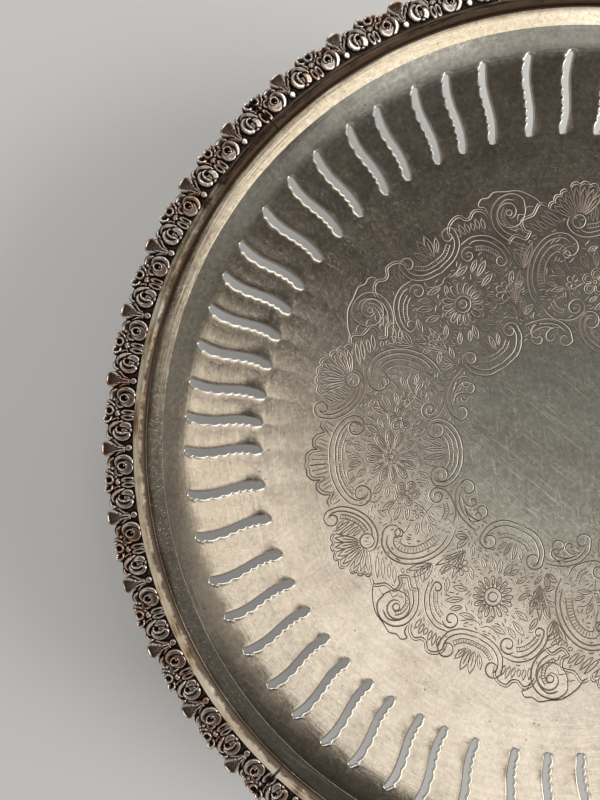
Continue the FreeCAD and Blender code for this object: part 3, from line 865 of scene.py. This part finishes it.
def draw_main_inner(e):
    """Inner scrolls, tufts and the big volute of half of the large cartouche."""
    # small scroll under the flower
    e.curl((24.6, 38.8, 20.8, 37.2, 16.6, 37.9, 13.0, 40.0, 11.6, 43.0), (14.6, 43.2), 1.35, -1)
    e.band((22.8, 41.8, 20.0, 40.3, 17.2, 40.7), 1.3)
    # inner C-scroll
    e.curl((0, 32.8, 5.0, 33.6, 9.2, 36.2, 11.4, 40.0, 10.9, 43.4), (7.9, 41.2), 1.2, 1)
    e.line((0, 34.3, 4.6, 35.1, 8.2, 37.4, 9.9, 40.4, 9.4, 42.8, 7.6, 43.4))
    e.band((0, 36.6, 3.8, 37.2, 6.3, 38.8), 1.5, 0.9)
    e.leaves((0.9, 38.4, 1.6, 46.6, 1.6), (2.0, 38.8, 4.4, 44.4, 1.5), (3.2, 39.4, 5.0, 41.8, 1.0))
    # scrolls along the plain middle
    e.curl((27.6, 30.8, 25.4, 33.2, 21.6, 36.0, 17.4, 37.0, 13.0, 36.0, 10.2, 33.0),
           (13.0, 32.4), 0.9, 1)
    e.line((25.4, 31.4, 21.4, 34.4, 17.4, 35.6, 13.8, 34.7))
    e.curl((15.6, 35.0, 18.6, 33.6, 19.4, 31.4), (17.6, 31.2), 0.8, -1)
    e.curl((20.4, 34.2, 24.0, 32.6, 24.6, 30.0), (22.6, 30.2), 0.8, -1)
    # leaf tufts between the scrolls
    e.leaves((33.6, 35.4, 40.6, 44.6, 1.7), (33.6, 35.4, 37.4, 46.2, 1.7),
             (33.6, 35.4, 42.4, 41.2, 1.7), (36.6, 47.2, 40.4, 54.4, 1.7),
             (36.6, 47.2, 37.8, 55.8, 1.7), (36.6, 47.2, 42.0, 50.4, 1.7),
             (29.4, 33.8, 32.6, 38.6, 1.7), (29.4, 33.8, 28.4, 38.2, 1.7))
    # big volute and its horn
    e.curl((41.2, 53.6, 46.2, 52.9, 51.4, 54.3, 54.8, 58.1, 54.8, 62.8, 51.6, 66.5,
            47.2, 66.9, 44.5, 64.0), (49.2, 60.8), 1.3, 1)
    e.line((44.2, 54.9, 48.4, 54.9, 52.0, 57.0, 53.3, 60.6, 52.4, 63.9, 49.4, 65.3))
    e.band((43.8, 57.2, 47.8, 56.9, 50.6, 58.9, 51.2, 61.6), 1.2)
    e.ring((49.2, 60.8), 1.1)
    e.line((39.6, 67.4, 44.0, 68.4, 49.6, 68.0, 53.6, 65.8, 56.8, 64.0, 57.6, 61.8,
            59.5, 60.3, 59.3, 58.2, 57.4, 58.8, 55.3, 57.6))
    e.lines((42.6, 66.0, 44.6, 64.9, 44.2, 62.6, 46.0, 61.6, 45.2, 59.6),
            (41.8, 57.0, 43.6, 57.8, 45.0, 56.4))


def draw_between_half(e):
    """Half of the motif between two cartouches."""
    # outer scroll and its frill
    e.curl((0, 69.6, 5.7, 70.6, 9.7, 73.3, 11.3, 77.2), (8.3, 78.2), 1.25, 1)
    e.line((0, 71.2, 5.0, 72.0, 8.3, 74.2, 9.6, 77.2, 8.6, 79.6))
    e.band((0, 73.3, 3.8, 73.8, 6.9, 75.9), 1.3)
    e.frill((9.4, 76.8, 9.6, 79.2, 11.6, 80.8, 14.2, 80.9, 15.4, 78.9, 17.4, 78.2,
             19.6, 79.2, 21.6, 77.8, 22.2, 75.2),
            (11.8, 75.4, 11.4, 79.2), (13.4, 75.0, 13.2, 79.4), (15.0, 74.8, 15.0, 78.4),
            (16.6, 74.6, 17.0, 77.2), (18.2, 73.9, 18.8, 77.6), (19.6, 72.8, 20.6, 76.6))
    e.leaves((0.7, 75.4, 1.6, 82.8, 2.2), (2.2, 75.6, 4.6, 80.2, 1.5))
    # side scroll
    e.line((9.9, 73.3, 14.7, 73.2, 19.1, 70.4, 21.6, 65.6, 22.0, 60.4))
    e.line((12.4, 71.9, 15.0, 71.5, 18.0, 69.1, 20.1, 65.0, 20.4, 61.4))
    e.curl((12.9, 70.6, 12.0, 71.6), (10.4, 69.2), 1.2, 1)
    e.band((13.4, 69.6, 16.0, 68.0, 17.9, 65.2, 18.7, 62.8), 1.3)
    e.curl((20.6, 62.6, 20.0, 60.2), (18.6, 61.6), 0.9, -1)
    e.lines((0, 67.8, 2.0, 66.5, 4.6, 67.0, 7.2, 68.4))
    # leaves and a flower
    e.leaves((3.0, 65.8, 8.4, 66.4, 1.6), (1.2, 65.4, 2.6, 62.8, 1.3), (8.2, 64.0, 12.0, 66.4, 1.5),
             (9.0, 61.6, 14.4, 64.4, 1.7), (8.6, 58.2, 13.8, 59.4, 1.7), (8.4, 54.6, 11.2, 50.8, 1.5),
             (5.8, 49.8, 8.4, 46.4, 1.5), (1.0, 49.2, 2.2, 44.4, 1.7), (2.6, 48.4, 5.0, 45.2, 1.3),
             (15.4, 62.0, 16.6, 57.2, 1.6), (16.8, 52.8, 20.0, 56.4, 1.5), (17.0, 51.0, 21.0, 51.4, 1.4),
             (14.8, 48.6, 18.2, 45.4, 1.5), (11.6, 47.8, 12.8, 43.8, 1.3))
    e.flower((14.0, 52.2), 6, 0.7, 3.0, 1.7, 0, 60.0)
    e.ring((14.0, 52.2), 0.6)
    # inner scroll
    e.curl((0, 31.2, 6.2, 32.2, 10.3, 36.0, 11.4, 40.6), (8.3, 40.4), 1.2, 1)
    e.line((0, 32.8, 5.3, 33.7, 8.8, 36.9, 9.8, 40.6, 8.6, 42.2))
    e.band((0, 36.0, 3.4, 36.5, 5.9, 38.2), 1.3, 0.9)
    e.leaves((0.8, 37.8, 1.6, 43.2, 1.3), (2.4, 38.4, 4.4, 42.2, 1.2))
    e.curl((22.0, 31.0, 18.8, 34.6, 14.6, 35.6, 12.4, 33.4), (14.6, 32.4), 0.8, 1)


def draw_middle_flower(e):
    """The large flower in the middle of a cartouche."""
    centre = (0, 57.6)
    e.flower(centre, 12, 2.9, 8.9, 2.5)
    e.flower(centre, 12, 3.6, 7.9, 1.2)
    e.flower(centre, 8, 0.9, 2.6, 1.3, 0, 67.5)
    e.ring(centre, 0.8)


def draw_between_flower(e):
    """The flower in the middle of the motif between two cartouches."""
    centre = (0, 57.0)
    e.flower(centre, 16, 3.1, 6.9, 1.5, 1)
    e.ring(centre, 2.9)
    e.ring(centre, 1.5)


def place_strokes(strokes, axis_deg, sign, out):
    """Lays strokes on the bowl as shallow V-shaped cuts."""
    ahead = unit_vector(axis_deg)
    sideways = np.array([-ahead[1], ahead[0]]) * sign
    for line, width in strokes:
        p = line[:, 1:] * ahead + line[:, :1] * sideways
        out["lines"].append(p)
        d = directions(p)
        normal = np.stack([-d[:, 1], d[:, 0]], 1) * sign
        run = np.linspace(0, 1, len(p))
        taper = np.clip(np.minimum(run, 1 - run) * TAPER_STEEP + TAPER_LEAST, 0, 1)[:, None]
        out["faces"] += grid_faces(len(CUT_ROWS), len(p), sum(len(v) for v in out["verts"]))
        for offset, lift, dark in CUT_ROWS:
            q = p + normal * width / 2 * taper * offset
            z = dish_z(np.hypot(q[:, 0], q[:, 1])) + lift
            out["verts"].append(np.column_stack([q, z]))
            out["cut"].append(np.full(len(q), dark))


# Filling of the engraving: a field of short curved cuts
FILL_SEED = 11
FILL_INNER_R = 36.0
FILL_OUTER_R = 76.0
FILL_CELL = 0.36
FILL_TRIES = 24000
FILL_REACH = (0.5, 1.1)
FILL_BOW = 0.3
FILL_POINTS = 4
FILL_W_SHARES = (0.8, 1.2)
# how the cuts lean, in radians, and how fast that changes across the dish
LEAN_SWAY = 1.6
LEAN_SCATTER = 0.5
LEAN_PACE = (0.21, 0.19)


def filler_strokes(taken):
    """Short curved cuts that fill the gaps between the drawn lines."""
    rng = np.random.default_rng(FILL_SEED)
    half = int(FILL_OUTER_R / FILL_CELL) + 1
    used = np.zeros((2 * half, 2 * half), bool)

    def cells(points, margin):
        places = np.floor(points / FILL_CELL).astype(int) + half
        return np.clip(places, margin, 2 * half - 1 - margin).T

    def mark(points):
        i, j = cells(points, 1)
        for di in (-1, 0, 1):
            for dj in (-1, 0, 1):
                used[i + di, j + dj] = True

    for line in taken:
        mark(line)
    strokes = []
    t = np.linspace(-1, 1, FILL_POINTS)
    for _ in range(FILL_TRIES):
        r = rng.uniform(FILL_INNER_R, FILL_OUTER_R)
        turn = rng.uniform(0, 2 * math.pi)
        x, y = r * math.cos(turn), r * math.sin(turn)
        lean = LEAN_SWAY * math.sin(x * LEAN_PACE[0]) + LEAN_SWAY * math.cos(y * LEAN_PACE[1])
        lean += rng.normal(0, LEAN_SCATTER)
        reach = rng.uniform(*FILL_REACH)
        bow = rng.uniform(-FILL_BOW, FILL_BOW)
        local = np.stack([t * reach, bow * (1 - t ** 2)], 1)
        ahead = (math.cos(lean), math.sin(lean))
        line = (x, y) + local @ np.array([ahead, (-ahead[1], ahead[0])])
        if used[tuple(cells(line, 0))].any():
            continue
        mark(line)
        strokes.append((line[:, ::-1], FINE_W * rng.uniform(*FILL_W_SHARES)))
    return strokes


def drawn(*draws):
    """The strokes of a motif that some functions draw."""
    e = Engraver()
    for draw in draws:
        draw(e)
    return e.strokes


def make_engraving():
    out = {"verts": [], "faces": [], "cut": [], "lines": []}
    main = drawn(draw_main_scrolls, draw_main_flowers, draw_main_inner)
    motifs = (
        (ENGRAVED_AXES_DEG, drawn(draw_middle_flower), main),
        (BETWEEN_AXES_DEG, drawn(draw_between_flower), drawn(draw_between_half)),
    )
    for axes, flower, half in motifs:
        for axis in axes:
            place_strokes(flower, axis, 1, out)
            place_strokes(half, axis, 1, out)
            place_strokes(half, axis, -1, out)
    place_strokes(filler_strokes(out["lines"]), 0.0, 1, out)
    verts, cut = np.vstack(out["verts"]), np.concatenate(out["cut"])
    new_object("well_engraving", verts, out["faces"], engraved_metal, "silver_sheet", cut=cut)


# Relief of the border
# One unit of it, full size: x runs along the border from the middle of the
# unit, and v runs out from the moulding. A form gives, for each point, how far
# it lies outside the outline, its own height, and how wide its edge is.
HALF_PITCH = 10.4
GROUND_H = 0.12
V_SHARE = 0.93
V_START = 0.8
SOFT_EDGE = 0.24
STRAND_EDGE = 0.18
LEAF_EDGE = 0.3
LEAF_V = (3.2, 10.45)


def lay(h, away, own, soft):
    """Lays a form over the relief; away is negative inside its outline."""
    depth = np.clip(-away / soft, 0, 1)
    rounded = own * (0.25 + 0.75 * np.sqrt(1 - (1 - depth) ** 2))
    groove = 0.2 + 0.8 * np.clip(away / soft, 0, 1)
    return np.where(away < 0, rounded, h * groove)


def petal(x, v, base, tip, wide, rim, bowl, full=0.5):
    """A cupped petal from base to tip, widest at the share full."""
    dx, dv = tip[0] - base[0], tip[1] - base[1]
    reach = math.hypot(dx, dv)
    along = ((x - base[0]) * dx + (v - base[1]) * dv) / reach ** 2
    across = ((v - base[1]) * dx - (x - base[0]) * dv) / reach
    swell = np.clip(along, 0, 1) ** (math.log(0.5) / math.log(full))
    half = np.maximum(wide * np.sin(math.pi * swell) ** 0.6, 1e-3)
    away = np.maximum(np.abs(across) - half, np.maximum(-along, along - 1) * reach)
    own = bowl + (rim - bowl) * np.clip(np.abs(across) / half, 0, 1) ** 2
    own = own + (rim - bowl) * 0.5 * np.clip(along * 3 - 2, 0, 1) ** 2
    return away, np.minimum(own, max(rim, bowl)), SOFT_EDGE


def strand(x, v, points, widths, height):
    """A rounded strand along a line of (side, out) points."""
    line = np.asarray(points, float)
    widths = np.broadcast_to(np.asarray(widths, float), (len(line),))
    nearest = np.full_like(v, 1e3)
    wide = np.ones_like(v)
    for a, b, first, last in zip(line, line[1:], widths, widths[1:]):
        d = b - a
        t = np.clip(((x - a[0]) * d[0] + (v - a[1]) * d[1]) / (d @ d), 0, 1)
        away = np.hypot(x - a[0] - t * d[0], v - a[1] - t * d[1])
        w = first + (last - first) * t
        closer = away - w < nearest - wide
        wide = np.where(closer, w, wide)
        nearest = np.where(closer, away, nearest)
    own = height * (0.55 + 0.45 * np.sqrt(np.clip(1 - (nearest / wide) ** 2, 0, 1)))
    return nearest - wide, own, STRAND_EDGE


def dome(x, v, centre, radii, height):
    """A round or oval boss."""
    q = np.hypot((x - centre[0]) / radii[0], (v - centre[1]) / radii[1])
    own = height * (0.5 + 0.5 * np.sqrt(np.clip(1 - q ** 2, 0, 1)))
    return (q - 1) * min(radii), own, SOFT_EDGE


def cup(x, v, centre, radii, rim, floor, edge=0.45, turn_deg=0.0, away_share=(0.0, 0.0)):
    """A hollow petal: a raised rim, round a floor that may lie to one side."""
    c, s = unit_vector(turn_deg)
    dx, dv = x - centre[0], v - centre[1]
    p, q = (dx * c + dv * s) / radii[0], (dv * c - dx * s) / radii[1]
    out = np.hypot(p, q)
    inner = np.hypot(p - away_share[0], q - away_share[1])
    reach = 1 - edge / min(radii) * 2
    hollow = np.clip((inner - reach * 0.35) / (1 - reach * 0.35), 0, 1) ** 1.3
    own = floor + (rim - floor) * hollow
    return (out - 1) * min(radii), own, edge


def leaf(x, v, outline_v, half_widths):
    """The dished leaf that stands in the middle of the unit."""
    low, high = LEAF_V
    half = np.interp(v, outline_v, half_widths)
    away = np.maximum(np.abs(x) - half, np.maximum(low - v, v - high))
    share = np.clip(np.abs(x) / np.maximum(half, 0.1), 0, 1)
    own = 0.85 + 0.75 * share ** 4 + 0.75 * np.clip((v - 9.3) / 0.9, 0, 1) ** 2
    return away, own, LEAF_EDGE


EYE_TURN = np.radians(np.linspace(-30, 250, 18))
EYE_CURL = points_round((5.3, 4.0), np.linspace(1.15, 1.05, 18), EYE_TURN)
# the rose on one side of the leaf: a ball with an eye, under a hood
OPEN_ROSE = (
    (cup, (4.6, 6.75), (2.05, 1.75), 1.75, 0.35, 0.5, 20.0),
    (cup, (7.15, 5.2), (1.25, 1.5), 1.2, 0.4, 0.4),
    (cup, (4.15, 3.65), (2.45, 2.85), 1.85, 0.3, 0.55, 0.0, (0.25, 0.0)),
    (dome, (5.75, 3.15), (2.3, 2.35), 1.55),
    (strand, EYE_CURL, 0.36, 2.0),
    (dome, (5.3, 3.95), (0.8, 0.85), 0.25),
    (dome, (5.15, 3.55), (0.42, 0.42), 1.1),
    (dome, (5.9, 7.1), (0.5, 0.5), 1.6),
)
# the flower on the other side: a heart between two thick petals
HEART_CURL = ((-5.0, 2.6), (-4.7, 4.0), (-5.0, 5.2), (-5.9, 5.8), (-6.7, 5.4))
ROSE_BUD = (
    (cup, (-4.35, 7.55), (1.35, 1.3), 1.9, 0.7, 0.5),
    (cup, (-5.9, 4.7), (2.75, 3.5), 1.75, 0.3, 0.55, 0.0, (0.2, 0.0)),
    (cup, (-4.6, 4.3), (2.15, 2.75), 1.9, 0.3, 0.6, 15.0, (-0.35, 0.0)),
    (dome, (-7.05, 3.2), (1.35, 1.9), 1.7),
    (dome, (-5.5, 3.9), (1.15, 1.7), 1.35),
    (strand, HEART_CURL, (0.3, 0.4, 0.42, 0.4, 0.25), 1.9),
    (dome, (-5.9, 4.75), (0.55, 0.5), 0.4),
)
# the leaf, its two stems, its veins and a bead
LEAF_AND_BEAD = (
    (strand, ((-0.5, 3.0), (-1.2, 4.9), (-2.3, 6.2), (-2.9, 7.6)), (0.2, 0.3, 0.3, 0.2), 1.0),
    (strand, ((0.5, 3.0), (1.2, 4.9), (2.3, 6.2), (2.9, 7.6)), (0.2, 0.3, 0.3, 0.2), 1.0),
    (leaf, (3.2, 5.0, 6.3, 7.6, 8.8, 9.6, 10.2, 10.45), (0.5, 0.7, 1.2, 2.15, 2.6, 2.4, 1.5, 0.0)),
    (strand, ((0.2, 3.0), (0.6, 5.6), (0.9, 7.6)), (0.3, 0.25, 0.12), 1.25),
    (strand, ((-0.3, 3.0), (-0.5, 5.4), (-0.9, 6.8)), (0.3, 0.22, 0.1), 1.2),
    (dome, (-0.3, 2.0), (0.95, 0.95), 1.5),
)
# the fan of cups and blades between two units, with two reeds under it
FAN_AND_REEDS = (
    (petal, (-1.0, 5.6), (-3.9, 9.2), 0.85, 1.8, 0.8, 0.6),
    (strand, ((-0.6, 6.2), (-1.9, 7.7), (-3.2, 9.5)), (0.3, 0.4, 0.2), 1.7),
    (petal, (0.9, 5.2), (3.1, 7.9), 0.8, 1.6, 0.6, 0.6),
    (cup, (1.45, 8.9), (1.25, 1.6), 2.0, 0.4, 0.45, -35.0, (0.0, -0.3)),
    (cup, (-1.05, 8.35), (1.45, 1.5), 2.0, 0.25, 0.5),
    (dome, (-0.3, 5.7), (1.1, 0.95), 1.2),
    (cup, (-0.85, 2.5), (0.82, 2.3), 1.6, 0.2, 0.34),
    (cup, (0.75, 2.5), (0.82, 2.3), 1.6, 0.2, 0.34),
)
# how far out the casting reaches round its forms, as (middle, out, radius)
PLAIN_REACH = 7.6
UNIT_REACH = ((0.0, 7.8, 2.6), (-5.9, 6.2, 2.4), (-4.35, 7.7, 1.4), (4.4, 6.7, 2.1), (6.4, 7.0, 1.4))
FAN_REACH = ((-1.05, 8.3, 1.6), (1.7, 8.6, 1.5), (-3.3, 8.5, 1.0), (3.2, 7.4, 1.1))


def unit_places(turn, half_unit):
    """Places along a unit: from its middle, and from the fan beside it."""
    x = turn / half_unit * HALF_PITCH
    return x, np.where(x > 0, x - HALF_PITCH, x + HALF_PITCH)


def unit_relief(turn, v, half_unit):
    """Height of the ornament over its ground, full size."""
    x, side = unit_places(turn, half_unit)
    v = v * V_SHARE + V_START
    h = np.full_like(v, GROUND_H)
    parts = ((side, FAN_AND_REEDS), (x, LEAF_AND_BEAD), (x, OPEN_ROSE), (x, ROSE_BUD))
    for along, forms in parts:
        for form, *sizes in forms:
            h = lay(h, *form(along, v, *sizes))
    return h


def border_outline(turn, half_unit):
    """How far out the casting reaches, scalloped round its forms."""
    x, side = unit_places(turn, half_unit)
    reach = np.full_like(x, PLAIN_REACH)
    for along, rows in ((x, UNIT_REACH), (side, FAN_REACH)):
        for middle, out, radius in rows:
            inside = np.clip(1 - ((along - middle) / radius) ** 2, 0, 1)
            reach = np.maximum(reach, np.where(inside > 0, out + radius * np.sqrt(inside), 0))
    return reach


# Border castings
RIDGE_ROUNDS = 5
OUTER_ROUND = 0.35
OUTER_LEAST = 0.3
CREST_GAP = 0.03
CREST_ROUND = 0.4
# the moulding meets the ornament past this share of its width
CREST_END_SHARE = 0.72
WALL_SHARES = (0.35, 1.0)
UNDERSIDE_SHARES = (0.55, 0.0)
TONE_PLAIN = 0.20
TONE_BY_HEIGHT = 0.18
HIGHLIGHT_BY_RIDGE = 1.7
TONE_LIFT = 0.06
WALL_TONE = 0.25
SEAM_COLS = 2
SEAM_TONE_SHARE = 0.3
CASTING_SEED = 7
UNIT_SCATTER = 0.10
UNIT_LIMITS = (0.8, 1.2)
# columns a unit, rows of the ornament and rows of the moulding
DISH_CELLS = (92, 58, 13)
FOOT_CELLS = (60, 38, 9)


def ridge_highlight(h):
    """How far each point stands over its neighbours, for painted highlights on the ridges."""
    soft = h
    for _ in range(RIDGE_ROUNDS):
        soft = (soft + np.roll(soft, 1, 1) + np.roll(soft, -1, 1)) / 3
        up = np.vstack([soft[:1], soft[:-1]])
        down = np.vstack([soft[1:], soft[-1:]])
        soft = (soft + up + down) / 3
    return h - soft


def unit_surface(half_unit, cols, rows):
    """Places out, height and tone over one unit, full size."""
    one = (np.arange(cols) + 0.5) / cols * 2 * half_unit - half_unit
    reach = border_outline(one, half_unit)
    v = np.linspace(0, 1, rows)[:, None] * reach
    h = unit_relief(np.broadcast_to(one, v.shape), v, half_unit)
    edge = np.clip((reach - v) / OUTER_ROUND, 0, 1)
    h = h * np.sqrt(edge * (1 - OUTER_LEAST) + OUTER_LEAST)
    # painted shade and highlight: darker where the relief is low, lighter where it stands high and on its
    # ridges
    tone = np.clip(TONE_PLAIN + h * TONE_BY_HEIGHT + ridge_highlight(h) * HIGHLIGHT_BY_RIDGE, 0, 1)
    return v, h, tone


def moulding_rows(rows, cols):
    """Rows (out, height, tone) from the inner foot of the moulding over its crest."""
    arc = np.linspace(0, 1, rows)[:-1]
    past = np.clip((arc - CREST_END_SHARE) / (1 - CREST_END_SHARE), 0, 1)
    height = LAND_DROP * np.sin(arc * math.pi) ** CREST_ROUND + GROUND_LIFT * past
    height = np.minimum(height, LAND_DROP)
    return [[np.full(cols, value) for value in row] for row in zip((arc - 1) * MOULDING_W, height, arc)]


def ornament_rows(v, h, tone):
    """Rows (out, height, tone) over the ornament, down its wall and underneath."""
    ground = GROUND_LIFT - v * FALL
    # nothing stands over the crest of the moulding
    top = ground + np.minimum(h, LAND_DROP - CREST_GAP - ground)
    rows = [[v[i], top[i], tone[i] + TONE_LIFT] for i in range(len(v))]
    wall = np.full(v.shape[1], WALL_TONE)
    low = ground[-1] - SLAB_T
    for drop in WALL_SHARES:
        rows.append([v[-1], top[-1] + (low - top[-1]) * drop, wall])
    for inward in UNDERSIDE_SHARES:
        out = v[-1] * inward
        rows.append([out, GROUND_LIFT - out * FALL - SLAB_T, wall])
    return rows


def make_casting(name, node, ring, count, start_deg):
    """One casting: moulding, ornament, outer wall and underside."""
    edge_r, land_z, share, units, (cols_unit, rows_relief, rows_bead) = ring
    half_unit = math.pi / units
    cols = cols_unit * count
    turn = math.radians(start_deg) + (np.arange(cols) + 0.5) / cols * 2 * half_unit * count

    # one unit, repeated, each a little higher or lower than the next
    v, h, tone = (np.tile(part, (1, count)) for part in unit_surface(half_unit, cols_unit, rows_relief))
    rng = np.random.default_rng(CASTING_SEED + count + int(start_deg))
    scatter = 1 + UNIT_SCATTER * np.repeat(rng.standard_normal(count), cols_unit)
    h = h * np.clip(scatter, *UNIT_LIMITS)

    bead = moulding_rows(rows_bead, cols)
    sections = np.array(bead + ornament_rows(v, h, tone))
    out, height, tones = sections[:, 0], sections[:, 1], sections[:, 2].astype(np.float32)
    r = edge_r + MOULDING_W * share + out * share
    verts = np.stack([r * np.cos(turn), r * np.sin(turn), land_z + height * share], 2)
    rows = len(sections)
    back = (rows - 1) * cols
    faces = grid_faces(rows, cols)
    faces += [(back + j, j, j + 1, back + j + 1) for j in range(cols - 1)]
    faces.append(tuple(i * cols for i in reversed(range(rows))))
    faces.append(tuple(i * cols + cols - 1 for i in range(rows)))
    # dark solder at both ends
    ends = np.minimum(np.arange(cols), np.arange(cols)[::-1]) < SEAM_COLS
    tones[:, ends] *= SEAM_TONE_SHARE
    moulding = np.repeat(np.arange(rows) < len(bead), cols)
    # the relief field holds the painted shade and highlight of the ornament, and on the moulding how far
    # across it a point lies
    piece = new_object(name, verts.reshape(-1, 3), faces, border_metal, "cast_border",
                       relief=tones, moulding=moulding)
    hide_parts(node)


def make_ring(name, node, ring, counts, place):
    """Castings end to end round a ring, from a seam at an angle."""
    for i, count in enumerate(counts):
        make_casting(f"{name}_{i + 1}", f"{node}_{i + 1}", ring, count, place)
        place += 360.0 / sum(counts) * count


DISH_RING = (EDGE_R, LAND_Z, 1.0, sum(UNIT_COUNTS), DISH_CELLS)
FOOT_RING = (FOOT_EDGE_R, FOOT_LAND_Z, FOOT_SHARE, sum(FOOT_UNIT_COUNTS), FOOT_CELLS)

make_dish()
make_engraving()
make_ring("dish_border", "border_casting", DISH_RING, UNIT_COUNTS, FIRST_SEAM_DEG)
make_ring("foot_border", "foot_casting", FOOT_RING, FOOT_UNIT_COUNTS, FOOT_SEAM_DEG)

# Pieces that keep their solid's mesh
METALS = (
    ("pedestal_stem", foot_silver), ("foot_wire", foot_silver), ("stem_collar", foot_silver),
    ("dish_boss", fitting_brass), ("clamp_stud", fitting_brass),
    ("clamp_washer", fitting_brass), ("clamp_nut", fitting_brass),
)
for node, metal in METALS:
    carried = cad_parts[node]
    carried.data.materials.clear()
    carried.data.materials.append(metal)

# Stage, in metres
# Brightness of the studio round the object, from the horizon to overhead
SKY_BANDS = (
    (0.0, (0.27, 0.27, 0.266)), (0.14, (0.48, 0.48, 0.475)), (0.48, (0.60, 0.60, 0.59)),
    (0.72, (0.36, 0.36, 0.355)), (0.90, (0.05, 0.047, 0.043)),
    (0.945, (0.055, 0.052, 0.05)), (0.965, (0.12, 0.117, 0.11)),
    (0.985, (0.27, 0.265, 0.255)), (1.0, (0.42, 0.415, 0.40)),
)
FLOOR_HALF = 12.0
FLOOR_TONES = ((0.3, (0.80, 0.79, 0.77)), (0.7, (0.83, 0.82, 0.80)))
FLOOR_ROUGH = 0.9
WARM = (1.0, 0.95, 0.86)
COOL = (0.86, 0.94, 1.0)
# Lamps that look straight down: place, size, power, colour, turn in degrees
PANELS = (
    ("window", (0.700, -0.204, 2.50), (0.30, 0.22), 0.44, WARM, -40.0),
    ("pane", (0.923, -0.391, 2.50), (0.24, 0.22), 0.38, (1.0, 0.99, 0.95), -40.0),
    ("glow", (0.53, -0.36, 2.50), (0.34, 0.44), 0.17, WARM, -15.0),
    ("key", (1.29, -0.545, 2.50), (0.62, 0.46), 1.62, WARM, 17.0),
    ("wing", (0.50, 0.29, 2.50), (0.30, 0.24), 0.045, COOL, 0.0),
    ("sky", (0.86, 0.50, 2.50), (0.60, 0.34), 0.42, COOL, 0.0),
    ("veil", (1.06, -0.18, 2.52), (0.26, 0.26), 0.06, (1.0, 1.0, 0.98), 0.0),
)
# Lamps that look at the middle of the rim: place, size, power, colour
SOFT_LAMPS = (
    ("side", (0.98, -0.10, 1.00), (0.55, 0.55), 6.5, (1.0, 0.98, 0.95)),
    ("fill", (0.10, 0.62, 1.15), (0.6, 0.5), 3.2, (0.95, 0.97, 1.0)),
)


def make_floor():
    size = FLOOR_HALF
    mesh = bpy.data.meshes.new("floor")
    mesh.from_pydata([(-size, -size, 0), (size, -size, 0), (size, size, 0), (-size, size, 0)],
                     [], [(0, 1, 2, 3)])
    floor = in_scene("floor", mesh)
    n = Nodes("floor_pale")
    shade = n.noise(n.add("TexCoord").outputs["Object"], 3.0)
    mesh.materials.append(n.surface(n.ramp(shade, FLOOR_TONES), FLOOR_ROUGH, metal=0.0))


def make_world():
    """Soft light all round, by height of its direction."""
    world = bpy.data.worlds.new("studio")
    bpy.context.scene.world = world
    world.use_nodes = True
    tree = world.node_tree
    back = tree.nodes["Background"]
    place = tree.nodes.new("ShaderNodeTexCoord")
    parts = tree.nodes.new("ShaderNodeSeparateXYZ")
    fade = tree.nodes.new("ShaderNodeValToRGB")
    set_stops(fade.color_ramp.elements, SKY_BANDS)
    tree.links.new(place.outputs["Generated"], parts.inputs[0])
    tree.links.new(parts.outputs[2], fade.inputs[0])
    tree.links.new(fade.outputs[0], back.inputs[0])
    back.inputs[1].default_value = 1.0


def area_light(name, place, size, power, colour):
    data = bpy.data.lights.new(name, "AREA")
    data.shape = "RECTANGLE"
    data.size, data.size_y = size
    data.energy = power
    data.color = colour
    lamp = in_scene(name, data)
    lamp.location = place
    return lamp


def make_lights():
    for *lamp, turn_deg in PANELS:
        area_light(*lamp).rotation_euler = (0, 0, math.radians(turn_deg))
    for row in SOFT_LAMPS:
        lamp = area_light(*row)
        towards = Vector((0, 0, RIM_Z * MM)) - lamp.location
        lamp.rotation_euler = towards.to_track_quat("-Z", "Y").to_euler()


def make_camera():
    data = bpy.data.cameras.new("camera")
    data.lens = CAMERA_LENS
    data.sensor_width = SENSOR_W
    data.clip_start = CAMERA_CLIP * MM
    camera = in_scene("camera", data)
    camera.location = [way * MM for way in (*CAMERA_XY, RIM_Z + CAMERA_ABOVE_RIM)]
    bpy.context.scene.camera = camera


make_floor()
make_world()
make_lights()
make_camera()
bpy.context.scene.view_settings.view_transform = "Standard"
